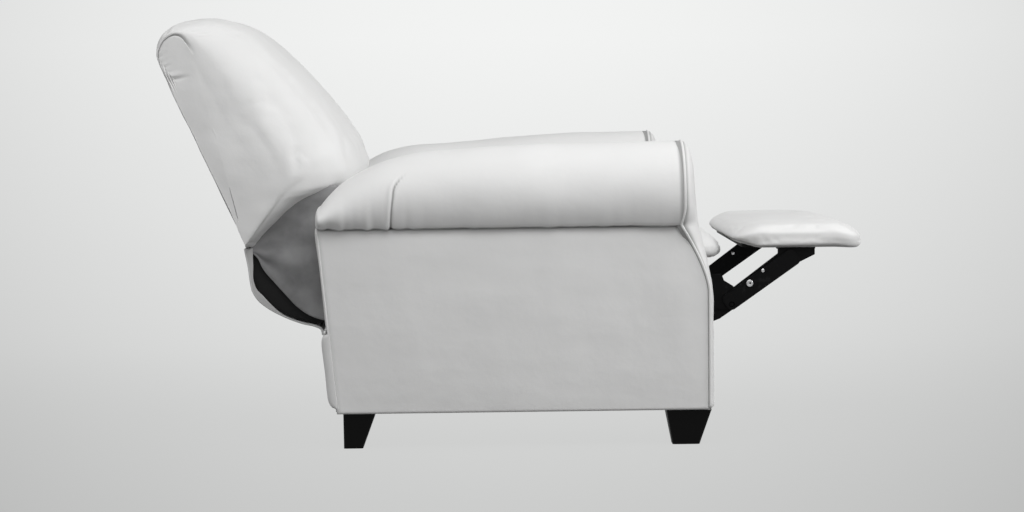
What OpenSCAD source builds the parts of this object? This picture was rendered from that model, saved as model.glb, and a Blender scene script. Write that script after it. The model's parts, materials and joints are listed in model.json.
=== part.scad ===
// Reclining loveseat, drawn fully reclined with its footrest out.
// X runs forward to the footrest, Y across the width and Z up, in millimetres.
// Places are worked out from the rear bottom corner of the base, then the whole is
// centred over its own footprint.

/* [Overall] */
// Width over both arms
width = 1210; // [1100:10:1500]
// Length of the base from its rear bottom corner to its front face
base_l = 808; // [770:2:860]
// Height of the base above the floor, which is the height of the legs
leg_h = 76; // [60:1:110]

/* [Arms] */
// Radius of the rolled arm
roll_r = 115; // [95:1:120]
// Height of the seam under the arm roll
seam_z = 474; // [460:1:490]
// Height of the arm's crown at the front
arm_z = 649; // [640:1:665]
// How much lower the crown is where the rear slope begins
arm_drop = 33; // [10:1:45]
// Height of the arm's rear end
arm_rear_z = 507; // [495:1:530]
// Distance along the arm from its rear end to the top of the rear slope
arm_slope_l = 132; // [100:1:170]
// How far the rear edge leans out at the seam
rear_lean = 39; // [20:1:50]
// How far the front face sets back at the seam
front_setback = 48; // [30:1:60]
// Height at which the front face starts to set back
setback_z = 330; // [280:1:380]
// Crown of the padded scroll on the arm's front end
scroll_crown = 29; // [15:1:35]
// Thickness of the upholstered arm panels
panel_t = 16; // [12:1:22]

/* [Legs] */
// Length of a front leg's top along X
front_leg_l = 97; // [80:1:110]
// Length of a rear leg's top along X
rear_leg_l = 69; // [60:1:80]
// Width of a leg's top along Y
leg_w = 72; // [60:1:85]
// Share of its top size that a leg keeps at its foot
leg_taper_share = 0.6; // [0.5:0.01:0.8]

/* [Seat] */
// Height of the seat frame's underside
seat_frame_z = 350; // [348:1:360]
// Height of the seat cushion's crown
seat_z = 470; // [455:1:480]
// How far the seat nose stands in front of the base when reclined
nose_out = 46; // [30:1:50]
// Length of the seat cushion
seat_l = 586; // [560:1:590]
// Travel of the seat carriage
glide = 40; // [30:1:45]

/* [Back] */
// Angle of the back's rear line from upright when reclined
back_lean = 24.8; // [22:0.2:26]
// Angle through which the back turns up
recline = 19; // [15:0.5:20]
// Height of the padded back along its rear line
back_l = 518; // [480:2:530]
// How far the back's wings stand out past the arms' inner faces
wing_out = 35.1; // [10:0.1:50]
// Thickness of the padded back at its foot
back_t = 322; // [300:1:330]
// Thickness of the padded back near its top
back_top_t = 205; // [180:1:230]
// Share of its thickness that the padded back keeps at its side seams
back_side_share = 0.8; // [0.7:0.01:0.9]

/* [Footrest] */
// Length of the footrest pad at its sides
pad_l = 280; // [250:1:285]
// How far the footrest pad reaches past the links at each side
pad_over = 13; // [5:1:20]
// Thickness of the pad at its middle
pad_t = 50; // [40:1:56]
// How far the pad's front edge bows out in the middle
pad_bow = 32; // [10:1:36]
// Height of the pad's underside
pad_z = 405; // [400:1:410]
// Length of the swing links between their pivots
swing_l = 155; // [152:1:158]
// Angle that the swing links fold through
swing_turn = 110; // [108:0.5:112]
// Width of a link
link_w = 24; // [20:1:26]
// Thickness of a link
link_t = 4; // [3:0.5:4]
// Radius of a pivot pin
pin_r = 5; // [4:0.5:6]

/* [Hidden] */
// Clearances and overruns
fit = 0.3;
cut = 1;
pin_clear = 0.1;

// The back's foot, rear face
back_foot_x = -205;
back_foot_z = 416;

// Arms
roll_y = width/2 - roll_r;
roll_mid_z = arm_z - roll_r;
seam_half = sqrt(roll_r*roll_r - (roll_mid_z - seam_z)*(roll_mid_z - seam_z));
panel_inset = 12;
arm_out_y = roll_y + seam_half - panel_inset;
arm_in_y = roll_y - seam_half - panel_inset/2;
arm_rear_x = -rear_lean - 3;
arm_front_x = base_l - 66;
front_panel_t = 38;
welt_back = 12;
post_l = 45;
post_gap = fit;

// Base rails
rail_t = 22;
rail_h = 80;
mech_inset = 63.9;
side_rail_in = arm_in_y - mech_inset;
side_rail_out = arm_in_y - fit;
side_rail_z = 266;
side_rail_h = seat_frame_z - fit - side_rail_z;
side_rail_back = 82;
side_rail_front = base_l - side_rail_back;
front_rail_back = 308;
front_rail_x = base_l - front_rail_back;
rear_rail_x = 30;
rear_panel_t = 18;
rear_panel_top = 250;
dust_t = 3;

// Linkage planes, outwards from the middle
plate_t = 6;
plate_y = side_rail_in - plate_t;
layer_gap = 0.5;
tilt_y = side_rail_in - 1 - link_t;
swing_y = plate_y - layer_gap - link_t;
lift_y = swing_y - layer_gap - link_t;
head_r = 9;
head_t = 2.5;

// Linkage pivots, at rest
lift_ahead = 37;
lift_z = 281;
swing_open = -9.1;
lift_pin = [base_l + lift_ahead, lift_z];
swing_pin = lift_pin - swing_l*[cos(swing_open), sin(swing_open)];
guide_step = [-70, -40];
guide_pin = swing_pin + guide_step;
lift_tail = lift_pin + guide_step;
crank_l = 24;
crank_a = -4;
crank_pin = lift_pin + crank_l*[cos(crank_a), sin(crank_a)];
lift_reach = [137, 103];
pad_pin = lift_pin + lift_reach;
tilt_l = 28;
tilt_a = -14;
tilt_pin = pad_pin + tilt_l*[cos(tilt_a), sin(tilt_a)];
slack = 2.3;
tube_r = 11;
tube_wall = 2;
pivot_boss = 16;

// Cheeks of the link plates, as steps from the lift pin in link widths
swing_horn = [[-1, -0.4], [-1.08, 2.75], [0.08, 2.75], [0.29, 2.17], [1.2, 1.6], [1, 0]];
lift_cheek = [[-1.7, -2], [-0.12, -1.42], [1.6, -0.25], [1.25, 0.8], [0, 0.5], [-1.7, -0.5]];
tilt_cheek = 14;
shoulder_bolt = [72, 46];
rivet = [102, 75];
rivet_r = 3.5;

// Pad
pad_behind = 107;
pad_x = pad_pin[0] - pad_behind;
pad_w = 2*(side_rail_in + pad_over);
board_t = 12;
board_inset = 20;
board_round = 40;
bracket_h = 24;
bracket_front = 73;
bracket_edge = 8;
flange_t = 3;

// Seat
seat_rail_t = 40;
seat_rail_h = 34;
seat_front = base_l + nose_out;
seat_half = arm_in_y - 10;
seat_bow = 6;
seat_bottom = seat_frame_z + seat_rail_h + fit;
seat_rail_front = base_l - 40;
hinge = [67, 330];
hinge_t = 5;
hinge_r = 18;
hinge_l = 110;
hinge_top = 24;
hinge_y = side_rail_in - 24;
seat_cross_l = 30;
seat_rear_x = hinge[0] - 10;

// Back
back_w = 2*(arm_in_y + wing_out);
post_w = 30;
post_t = 34;
back_post_y = hinge_y - hinge_t - fit - post_w;
lumbar_w = 2*(arm_in_y - 14);
lumbar_l = 190;
back_board_t = 8;
board_end = 90;
pocket_t = post_t - 4 + 2*fit;
frame_v = back_board_t + fit;
flap_t = 6;
flap_in = 40;
top_rail_drop = 90;
back_rail_w = 50;
post_top_drop = 30;
strap_w = 50;

// Centre of the footprint
back_round = 46;
round_steps = 10;
x_rear = min([for (p = back_outline()) back_place(p)[0]]);
x_front = pad_x + pad_l + pad_bow;
x_mid = (x_rear + x_front)/2;

// Placing helpers

module place() { translate([-x_mid, 0, 0]) children(); }

// side is -1 for the right-hand piece and 1 for the left-hand one
module on_side(side) { place() mirror([0, side < 0 ? 1 : 0, 0]) children(); }

// An outline drawn in X and Z, carried across from y0 to y1
module across(y0, y1) {
  translate([0, y1, 0]) rotate([90, 0, 0]) linear_extrude(height = y1 - y0) children();
}

// A pin or a hole along Y at point p, from y0 to y1
module pin_y(p, r, y0, y1) {
  translate([p[0], y1, p[1]]) rotate([90, 0, 0]) cylinder(r = r, h = y1 - y0, $fn = 48);
}

// Arms

function front_x(z) =
  base_l - front_setback*pow(max(0, z - setback_z)/(seam_z - setback_z), 1.5);
function rear_x(z) = -rear_lean*(z - leg_h)/(seam_z - leg_h);
function lerp(a, b, t) = a + (b - a)*t;

front_steps = 10;
front_edge = [for (i = [0:front_steps])
  let (z = lerp(setback_z - 10, seam_z, i/front_steps)) [front_x(z), z]];

module arm_outline(back) {
  polygon(concat([[rear_x(seam_z), seam_z], [rear_x(leg_h), leg_h],
    [front_x(leg_h) - back, leg_h]],
    [for (p = front_edge) [p[0] - back*(1 + 1.2*(base_l - p[0])/front_setback), p[1]]]));
}

module arm_panel_outer(side) {
  color("whitesmoke") on_side(side) across(arm_out_y - panel_t, arm_out_y) arm_outline(welt_back);
}

module arm_panel_inner(side) {
  color("whitesmoke") on_side(side) across(arm_in_y, arm_in_y + panel_t)
    arm_outline(front_panel_t + post_gap);
}

module arm_front(side) {
  inner_edge = [for (i = [front_steps:-1:0])
    let (p = front_edge[i]) [p[0] - front_panel_t, p[1]]];
  color("whitesmoke") on_side(side) across(arm_in_y, arm_out_y - panel_t - fit)
    polygon(concat([[base_l - front_panel_t, leg_h], [base_l, leg_h]], front_edge, inner_edge));
  color("whitesmoke") on_side(side) across(arm_out_y - panel_t - fit, arm_out_y)
    polygon(concat([[base_l - welt_back + fit, leg_h], [base_l, leg_h]], front_edge,
      [for (i = [front_steps:-1:0]) let (p = front_edge[i])
        [p[0] - welt_back*(1 + 1.2*(base_l - p[0])/front_setback) + fit, p[1]]]));
}

module arm_post_front(side) {
  color("burlywood") on_side(side) across(arm_in_y + panel_t, arm_out_y - panel_t)
    polygon([[base_l - front_panel_t - post_l, leg_h], [base_l - front_panel_t - fit, leg_h],
      [base_l - front_panel_t - fit, setback_z],
      [front_x(seam_z) - front_panel_t - fit, seam_z - fit],
      [front_x(seam_z) - front_panel_t - post_l, seam_z - fit]]);
}

module arm_post_rear(side) {
  color("burlywood") on_side(side) across(arm_in_y + panel_t, arm_out_y - panel_t)
    polygon([[rear_x(leg_h), leg_h], [rear_x(leg_h) + post_l, leg_h],
      [rear_x(seam_z) + post_l, seam_z - fit], [rear_x(seam_z), seam_z - fit]]);
}

// Height of the roll's crown at x
arm_slope_x = arm_rear_x + arm_slope_l;
function roll_top(x) = x > arm_slope_x
  ? arm_z - arm_drop*pow((arm_front_x - x)/(arm_front_x - arm_slope_x), 1.4)
  : lerp(arm_rear_z, arm_z - arm_drop,
      1 - pow(1 - (x - arm_rear_x)/arm_slope_l, 1.25));

// Cross-section of the roll at x: a round arch over the seam, in Y and Z
roll_sides = 22;
function roll_section(x, grow) =
  let (top = roll_top(x) + grow, h = (top - seam_z)/(arm_z - seam_z))
  [for (i = [0:roll_sides])
    let (low = asin((roll_mid_z - seam_z)/roll_r), a = lerp(-low, 180 + low, i/roll_sides),
      zz = (roll_mid_z - seam_z + roll_r*sin(a))*h)
    [roll_y + (roll_r + grow)*cos(a), seam_z + fit + max(0, zz)]];

// Closed skin through rings of equal length, with flat ends
module loft(rings) {
  n = len(rings[0]);
  m = len(rings);
  points = [for (r = rings) each r];
  walls = [for (k = [0:m - 2], i = [0:n - 1])
    let (a = k*n + i, b = k*n + (i + 1)%n) each [[a, a + n, b], [b, a + n, b + n]]];
  polyhedron(points, concat(walls, [[for (i = [0:n - 1]) i]],
    [[for (i = [n - 1:-1:0]) (m - 1)*n + i]]), convexity = 6);
}

roll_stations = 15;
module arm_roll(side) {
  color("whitesmoke") on_side(side)
    loft([for (k = [0:roll_stations])
      let (t = k/roll_stations, x = lerp(arm_rear_x, arm_front_x, pow(t, 1.5)))
      [for (p = roll_section(x, 0)) [x, p[0], p[1]]]]);
}

module arm_scroll(side) {
  rings = 6;
  color("whitesmoke") on_side(side)
    loft([for (k = [0:rings])
      let (a = 90*k/rings*0.98, s = 1 - 0.42*(1 - cos(a)))
      [for (p = roll_section(arm_front_x, 0))
        [arm_front_x + fit + scroll_crown*sin(a), roll_y + (p[0] - roll_y)*s,
         seam_z + fit + (p[1] - seam_z - fit)*lerp(1, s, 0.55)]]]);
}

// Base

module side_rail(side) {
  color("burlywood") on_side(side) across(side_rail_in, side_rail_out)
    polygon([[rear_rail_x + rail_t + fit, side_rail_z], [side_rail_front, side_rail_z],
      [side_rail_front, side_rail_z + side_rail_h],
      [rear_rail_x + rail_t + fit, side_rail_z + side_rail_h]]);
}

module cross_rail(x, z, h) {
  color("burlywood") place() translate([x, -arm_in_y + fit, z])
    cube([rail_t, 2*(arm_in_y - fit), h]);
}

module rear_panel() {
  color("whitesmoke") place() across(-arm_out_y, arm_out_y)
    polygon([[rear_x(leg_h + 10) - fit, leg_h + 10],
      [rear_x(leg_h + 10) - rear_panel_t*0.5, leg_h + 14],
      [rear_x(leg_h + 60) - rear_panel_t, leg_h + 60],
      [rear_x(rear_panel_top) - rear_panel_t, rear_panel_top - 12],
      [rear_x(rear_panel_top) - rear_panel_t*0.5, rear_panel_top],
      [rear_x(rear_panel_top) - fit, rear_panel_top]]);
}

// Cloth under the base: between the rails, and inside the panels of each arm
module dust_cover() {
  rear = rear_rail_x + rail_t + fit;
  arm_rear = rear_x(leg_h) + post_l + fit;
  arm_l = base_l - front_panel_t - post_l - 4*fit - arm_rear;
  color("dimgray") place() {
    translate([rear, -arm_in_y + fit, leg_h])
      cube([front_rail_x - rear - fit, 2*(arm_in_y - fit), dust_t]);
    for (side = [-1, 1]) mirror([0, side < 0 ? 1 : 0, 0])
      translate([arm_rear, arm_in_y + panel_t + fit, leg_h])
        cube([arm_l, arm_out_y - arm_in_y - 2*(panel_t + fit), dust_t]);
  }
}

// Leg whose top spans x0 to x0 + l and whose foot keeps its place at share f of the slack
module leg(side, x0, l, f) {
  leg_r = 6;
  foot_l = l*leg_taper_share;
  foot_w = leg_w*leg_taper_share;
  y0 = arm_out_y - leg_w - 8;
  color([0.08, 0.08, 0.08]) on_side(side) difference() {
    hull() {
      translate([x0 + leg_r, y0 + leg_r, leg_h - 1])
        linear_extrude(height = 1) offset(r = leg_r, $fn = 24)
          square([l - 2*leg_r, leg_w - 2*leg_r]);
      translate([x0 + (l - foot_l)*f + leg_r, y0 + (leg_w - foot_w)/2 + leg_r, 0])
        linear_extrude(height = 1) offset(r = leg_r, $fn = 24)
          square([foot_l - 2*leg_r, foot_w - 2*leg_r]);
    }
    translate([x0 + l/2, y0 + leg_w/2, leg_h - bolt_l/2]) cylinder(r = bolt_r + fit, h = bolt_l, $fn = 32);
  }
}
bolt_r = 5;
bolt_l = 60;
front_leg_x = base_l - 106;
rear_leg_x = 11;

module leg_bolts() {
  for (side = [-1, 1], x = [front_leg_x + front_leg_l/2, rear_leg_x + rear_leg_l/2])
    color("silver") on_side(side)
      translate([x, arm_out_y - leg_w/2 - 8, leg_h - bolt_l/2 + fit])
        cylinder(r = bolt_r, h = bolt_l/2 - 2*fit, $fn = 32);
}

// Mechanism

// A flat bar with round ends through the pivots in p, a little slimmer between them
bar_waist_share = 0.96;
module bar(p, w) {
  for (i = [0:len(p) - 2])
    let (d = p[i + 1] - p[i], l = norm(d), waist = w*bar_waist_share)
      translate(p[i]) rotate(atan2(d[1], d[0])) translate([0, -waist/2]) square([l, waist]);
  for (q = p) translate(q) circle(r = w/2, $fn = 48);
}

module link(side, y, p, w) {
  on_side(side) across(y, y + link_t) bar(p, w);
}

plate_l = 120;
plate_tail = [guide_pin[0] - plate_l, side_rail_z + side_rail_h - 20];
plate_window = [guide_pin[0] - plate_l/2, swing_pin[1]];
window_r = 10;
// A cheek of a link plate, round at its corners
module cheek(side, y, steps) {
  on_side(side) across(y, y + link_t) offset(r = link_w/6, $fn = 32) offset(r = -link_w/6)
    polygon([for (s = steps) lift_pin + link_w*s]);
}

module mech_plate(side) {
  color([0.1, 0.1, 0.1]) on_side(side) {
    across(plate_y, side_rail_in - fit/10) difference() {
      hull() {
        translate(swing_pin) circle(r = pivot_boss, $fn = 32);
        translate(guide_pin) circle(r = pivot_boss, $fn = 32);
        translate(plate_tail) circle(r = pivot_boss, $fn = 32);
      }
      translate(plate_window) circle(r = window_r, $fn = 32);
    }
    for (p = [swing_pin, guide_pin]) {
      pin_y(p, pin_r, swing_y - layer_gap, plate_y);
      pin_y(p, head_r, swing_y - layer_gap - head_t, swing_y - layer_gap);
    }
  }
}

module swing_link(side) {
  color([0.1, 0.1, 0.1]) {
    difference() {
      union() {
        link(side, swing_y, [swing_pin, lift_pin, crank_pin], link_w);
        cheek(side, swing_y, swing_horn);
      }
      on_side(side) pin_y(swing_pin, pin_r + pin_clear, swing_y - cut, swing_y + link_t + cut);
    }
    on_side(side) {
      pin_y(lift_pin, pin_r, lift_y - layer_gap, swing_y);
      pin_y(lift_pin, head_r, lift_y - layer_gap - head_t, lift_y - layer_gap);
      pin_y(crank_pin, pin_r - 1, swing_y + link_t, tilt_y + link_t);
    }
  }
}

module torque_tube() {
  tube_end = swing_y - layer_gap - head_t - fit;
  color([0.12, 0.12, 0.12]) place() {
    difference() {
      pin_y(swing_pin, tube_r, -tube_end, tube_end);
      pin_y(swing_pin, tube_r - tube_wall, -tube_end - cut, tube_end + cut);
    }
  }
}

module guide_link(side) {
  color([0.1, 0.1, 0.1]) {
    difference() {
      link(side, swing_y, [guide_pin, lift_tail], link_w);
      on_side(side) pin_y(guide_pin, pin_r + pin_clear, swing_y - cut, swing_y + link_t + cut);
    }
    on_side(side) {
      pin_y(lift_tail, pin_r, lift_y - layer_gap, swing_y);
      pin_y(lift_tail, head_r, lift_y - layer_gap - head_t, lift_y - layer_gap);
    }
  }
}

module lift_link(side) {
  color([0.1, 0.1, 0.1]) {
    difference() {
      union() {
        link(side, lift_y, [lift_tail, lift_pin, pad_pin], link_w);
        cheek(side, lift_y, lift_cheek);
      }
      on_side(side) for (p = [lift_tail, lift_pin])
        pin_y(p, pin_r + pin_clear + (p == lift_tail ? fit : 0), lift_y - cut, lift_y + link_t + cut);
    }
    on_side(side) pin_y(pad_pin, pin_r, lift_y + link_t, swing_y + link_t + layer_gap/2);
  }
}

// The tilt link is a broad plate whose pivots lie near its lower edge
module tilt_link(side) {
  along = (tilt_pin - crank_pin)/norm(tilt_pin - crank_pin);
  up = tilt_cheek*[-along[1], along[0]];
  color([0.1, 0.1, 0.1]) {
    difference() {
      on_side(side) across(tilt_y, tilt_y + link_t) hull()
        for (p = [crank_pin, tilt_pin, crank_pin + up, tilt_pin + up])
          translate(p) circle(r = link_w/2, $fn = 48);
      on_side(side) {
        pin_y(crank_pin, pin_r - 1 + slack, tilt_y - cut, tilt_y + link_t + cut);
        pin_y(tilt_pin, pin_r + pin_clear, tilt_y - cut, tilt_y + link_t + cut);
      }
    }
    on_side(side) {
      pin_y(lift_pin + shoulder_bolt, head_r, tilt_y + link_t, tilt_y + link_t + head_t);
      pin_y(lift_pin + rivet, rivet_r, tilt_y + link_t, tilt_y + link_t + head_t);
    }
  }
}

module footrest_bracket(side) {
  heel = link_w*0.4;
  color([0.1, 0.1, 0.1]) {
    difference() {
      union() {
        link(side, swing_y, [pad_pin, tilt_pin], link_w);
        on_side(side) across(swing_y, swing_y + link_t)
          polygon([[pad_pin[0] - heel, pad_pin[1]], [pad_pin[0] - heel, pad_z - fit - 1],
            [pad_pin[0] + bracket_front, pad_z - fit - 1],
            [pad_pin[0] + bracket_front, pad_z - fit - 2*bracket_edge],
            [tilt_pin[0], pad_pin[1] - heel - bracket_edge]]);
        on_side(side)
          translate([pad_pin[0] - heel - 1, swing_y - bracket_h, pad_z - fit - flange_t])
            cube([bracket_front + heel + 2, bracket_h + link_t, flange_t]);
      }
      on_side(side) pin_y(pad_pin, pin_r + pin_clear, swing_y - cut, swing_y + link_t + cut);
    }
    on_side(side) pin_y(tilt_pin, pin_r, swing_y + link_t, tilt_y + link_t);
  }
}

// Footrest pad and its board

// Outline of the board, grown by a clearance
module board_outline(grow) {
  translate([pad_x + board_inset - grow, -pad_w/2 + board_inset - grow])
    translate([board_round, board_round])
      offset(r = board_round, $fn = 48)
        square([pad_l - 2*(board_inset + board_round - grow),
          pad_w - 2*(board_inset + board_round - grow)]);
}

module footrest_board() {
  color("burlywood") place() translate([0, 0, pad_z])
    linear_extrude(height = board_t) board_outline(0);
}

// A cushion: an upper and a lower shell over one rounded outline, with drawn-in sides.
// l, w and t are its sizes, bow swells the front edge and crown_share sets the pull-in
pad_rings = 7;
pad_eighth = 5;
squareness = 7.6;
corner = pow(0.5, 1/squareness);
function side_of(t) = pow(1 - pow(abs(t), squareness), 1/squareness);
// Points round a square with soft corners, from -1 to 1 both ways
soft_square = [for (q = [0:3], i = [-pad_eighth:pad_eighth - 1])
  let (t = corner*i/pad_eighth, n = side_of(t))
  q == 0 ? [n, t] : q == 1 ? [-t, n] : q == 2 ? [-n, -t] : [t, -n]];
function pad_ring(x0, z0, l, w, t, bow, s, h) =
  [for (p = soft_square)
    let (swell = p[0] > 0 ? bow*(1 - p[1]*p[1])*p[0] : 0)
    [x0 + l/2 + (p[0]*l/2 + swell)*s, p[1]*w/2*s, z0 + h]];

module cushion(x0, z0, l, w, t, bow, flat_share) {
  rings = concat(
    [for (k = [0:pad_rings]) let (a = 90*k/pad_rings)
      pad_ring(x0, z0, l, w, t, bow, 1 - 0.10*pow(1 - sin(a), 1.3), t*flat_share*sin(a))],
    [for (k = [1:pad_rings]) let (a = 90*k/pad_rings)
      pad_ring(x0, z0, l, w, t, bow, pow(cos(a*0.995), 0.55), t*(flat_share + (1 - flat_share)*sin(a)))]);
  loft(rings);
}

module footrest_pad() {
  color("whitesmoke") place() difference() {
    cushion(pad_x, pad_z, pad_l, pad_w, pad_t, pad_bow, 0.4);
    translate([0, 0, pad_z - cut])
      linear_extrude(height = board_t + fit + cut) board_outline(fit);
  }
}

// Seat carriage

module seat_rail(side) {
  color("burlywood") on_side(side)
    translate([hinge[0] - 20, side_rail_in + 4, seat_frame_z])
      cube([seat_rail_front - hinge[0] + 20, seat_rail_t, seat_rail_h]);
}

module seat_cross(x) {
  color("burlywood") place()
    translate([x, -side_rail_in - 4 + fit, seat_frame_z])
      cube([seat_cross_l, 2*(side_rail_in + 4 - fit), seat_rail_h]);
}

// The rear rail is slotted from below for the hinge plates
module seat_rear_rail() {
  color("burlywood") difference() {
    seat_cross(seat_rear_x);
    for (side = [-1, 1]) on_side(side)
      translate([seat_rear_x - cut, hinge_y - hinge_t - 1, seat_frame_z - cut])
        cube([seat_cross_l + 2*cut, 2*hinge_t + 1 + fit, hinge_top + cut + fit]);
  }
}

// One sinuous spring lies front to back: round wire in even bends
spring_count = 5;
spring_bends = 5;
spring_r = 2;
spring_arm = 18;
spring_edge = 80;
module seat_springs() {
  x0 = seat_rear_x + seat_cross_l + 2;
  x1 = seat_rail_front - seat_cross_l - 4;
  pitch = (x1 - x0)/(2*spring_bends);
  color("dimgray") place()
    for (n = [0:spring_count - 1])
      let (y = lerp(-side_rail_in + spring_edge, side_rail_in - spring_edge, n/(spring_count - 1)))
        for (k = [0:2*spring_bends - 1])
          translate([x0 + pitch*(k + 0.5), y, seat_frame_z + seat_rail_h - 2*spring_r])
            rotate([0, 0, k%2 == 0 ? 0 : 180]) spring_bend(pitch);
}

module spring_bend(pitch) {
  translate([0, spring_arm/2, 0]) rotate_extrude(angle = 180, $fn = 24)
    translate([pitch/2, 0]) circle(r = spring_r, $fn = 13);
  for (sx = [-1, 1])
    translate([sx*pitch/2, 0, 0]) rotate([-90, 0, 0])
      cylinder(r = spring_r, h = spring_arm/2, $fn = 13);
}

module seat_cushion() {
  color("whitesmoke") place()
    cushion(seat_front - seat_l, seat_bottom, seat_l - seat_bow, 2*seat_half,
      seat_z - seat_bottom, seat_bow, 0.42);
}

module seat_hinge(side) {
  color([0.1, 0.1, 0.1]) on_side(side) {
    across(hinge_y, hinge_y + hinge_t) hull() {
      translate(hinge) circle(r = hinge_r, $fn = 32);
      translate([hinge[0] - 10, seat_frame_z + 4]) square([hinge_l, hinge_top - 4]);
    }
    pin_y(hinge, pin_r + 1, hinge_y - hinge_t - fit, hinge_y);
    translate([seat_rear_x + seat_cross_l + 1, hinge_y + hinge_t, seat_frame_z + 6])
      cube([hinge_l - 44, side_rail_in + 4 - fit - hinge_y - hinge_t, 4]);
  }
}

// Back, in its own frame: u runs up its rear line and v forward from it

function back_place(p) = [
  back_foot_x - p[0]*sin(back_lean) + p[1]*cos(back_lean),
  back_foot_z + p[0]*cos(back_lean) + p[1]*sin(back_lean)];

// Outline of the padded back seen from the side, as points in u and v
function back_outline() = concat(
  [[0, back_board_t + fit], [back_l - board_end, back_board_t + fit],
   [back_l - board_end + fit, 0]],
  [for (i = [0:round_steps])
    let (a = 90*i/round_steps)
    [back_l - back_round*0.95 + back_round*0.95*sin(a) - 4, back_round*1.5*(1 - cos(a)) + 1]],
  [for (i = [1:round_steps])
    let (a = 90*i/round_steps)
    [back_l - 4 - (back_l*0.18)*(1 - cos(a)),
     back_round*1.5 + (back_top_t*1.13 - back_round*1.5)*sin(a)]],
  [for (i = [1:7])
    let (t = i/7)
    [lerp(back_l*0.82 - 4, 58, t), lerp(back_top_t*1.13, back_t, pow(t, 0.7))]],
  [for (p = [[30, 0.93], [42, 0.8], [60, 0.62], [56, 0.45], [30, 0.25], [8, 0.06]])
    [p[0], back_t*p[1]]]);

// The padded back swells from its side seams to its middle, and its wings draw in
// above the outside board and below the middle of the back
wing_rings = 7;
mid_u = back_l*0.45;
board_u = back_l - board_end + fit;
function wing_u(p, full) =
  p[0] > board_u ? board_u + (p[0] - board_u)*lerp(0.63, 1, full)
  : p[0] < mid_u && p[1] > back_board_t + fit ? mid_u + (p[0] - mid_u)*lerp(0.885, 1, full)
  : p[0];
module back_pillow() {
  shape = back_outline();
  rings = [for (k = [-wing_rings:wing_rings])
    let (a = 90*k/wing_rings, y = back_w/2*sin(a), full = pow(max(0, cos(a)), 0.7),
      s = lerp(back_side_share, 1, full))
    [for (p = shape) let (r = back_place([wing_u(p, full),
      p[1] <= back_board_t + fit ? p[1] : p[1]*s])) [r[0], y, r[1]]]];
  color("whitesmoke") place() difference() {
    loft(rings);
    back_pocket(-back_l, back_l - board_end + 2*fit, 0);
  }
}

// Room for the frame behind the foam, up to u = top
module back_pocket(bottom, top, extra) {
  across(-back_post_y - post_w - fit, back_post_y + post_w + fit)
    polygon([for (p = [[bottom, -cut], [top, -cut], [top, back_board_t + pocket_t + extra],
      [bottom, back_board_t + pocket_t + extra]]) back_place(p)]);
}

// Outline of the lower back, as shares of its height and of the back's thickness
lumbar_shares = [[-0.032, 0.125], [0.105, 0.28], [0.242, 0.46], [0.263, 0.62], [0.168, 0.8],
  [0.084, 0.93], [-0.105, 1.05], [-0.368, 1.12], [-0.653, 1.15], [-0.737, 1], [-0.695, 0.8],
  [-0.526, 0.5], [-0.263, 0.2]];
module back_lumbar() {
  color("silver") place() difference() {
    across(-lumbar_w/2, lumbar_w/2)
      polygon([for (s = lumbar_shares) back_place([lumbar_l*s[0], back_t*s[1]])]);
    for (side = [-1, 1]) scale([1, side, 1])
      across(back_post_y - fit, hinge_y + hinge_t + 1)
        polygon([for (p = [[-back_l, -cut], [back_l, -cut], [back_l, back_t*0.86],
          [-back_l, back_t*0.86]]) back_place(p)]);
  }
}

post_heel = [-back_t*0.512, back_t*0.512];
post_toe = [-back_t*0.441, back_t*0.637];
post_knee = -24;
post_top = back_l - board_end - post_top_drop;
module back_post(side) {
  color("burlywood") on_side(side) across(back_post_y, back_post_y + post_w)
    polygon([for (p = [post_heel, [post_knee, frame_v], [post_top, frame_v],
      [post_top, frame_v + post_t - 4], [post_knee + 16, frame_v + post_t - 4], post_toe])
      back_place(p)]);
}

module back_rail(u, v) {
  color("burlywood") place() across(-back_post_y + fit, back_post_y - fit)
    polygon([for (p = [[u, v], [u + back_rail_w, v], [u + back_rail_w, v + rail_t],
      [u, v + rail_t]]) back_place(p)]);
}

strap_pairs = 2;
strap_step = 0.4*back_post_y;
strap_t = 2;
low_rail_u = -12;
strap_v = frame_v + rail_t + fit;
module back_straps() {
  color("dimgray") place()
    for (n = [-strap_pairs:strap_pairs])
      across(n*strap_step - strap_w/2, n*strap_step + strap_w/2)
        polygon([for (p = [[low_rail_u, strap_v], [post_top, strap_v],
          [post_top, strap_v + strap_t], [low_rail_u, strap_v + strap_t]]) back_place(p)]);
}

module outside_back() {
  color("whitesmoke") place() across(-back_w/2 + flap_in, back_w/2 - flap_in)
    polygon([for (p = [[2, 0], [2, back_board_t], [back_l - board_end, back_board_t],
      [back_l - board_end, 0]]) back_place(p)]);
}

// Line of the flap from the back's foot to the rear panel, as shares of the way there
flap_shares = [[0.05, 0.39], [0.155, 0.675], [0.415, 0.865], [0.735, 0.995], [1, 1]];
flap_end_x = rear_x(rear_panel_top) - rear_panel_t;
flap_end_z = rear_panel_top + 3;
function flap_place(s, inward) =
  [lerp(back_foot_x, flap_end_x, s[0]) + inward*(1 - s[1]), lerp(back_foot_z, flap_end_z, s[1]) + inward*s[1]];
module back_flap() {
  color("whitesmoke") place() across(-back_w/2 + flap_in, back_w/2 - flap_in)
    polygon(concat([back_place([2 - fit, 0])],
      [for (s = flap_shares) flap_place(s, 0)],
      [for (i = [len(flap_shares) - 1:-1:0]) flap_place(flap_shares[i], flap_t)],
      [back_place([2 - fit, flap_t])]));
}

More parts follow.
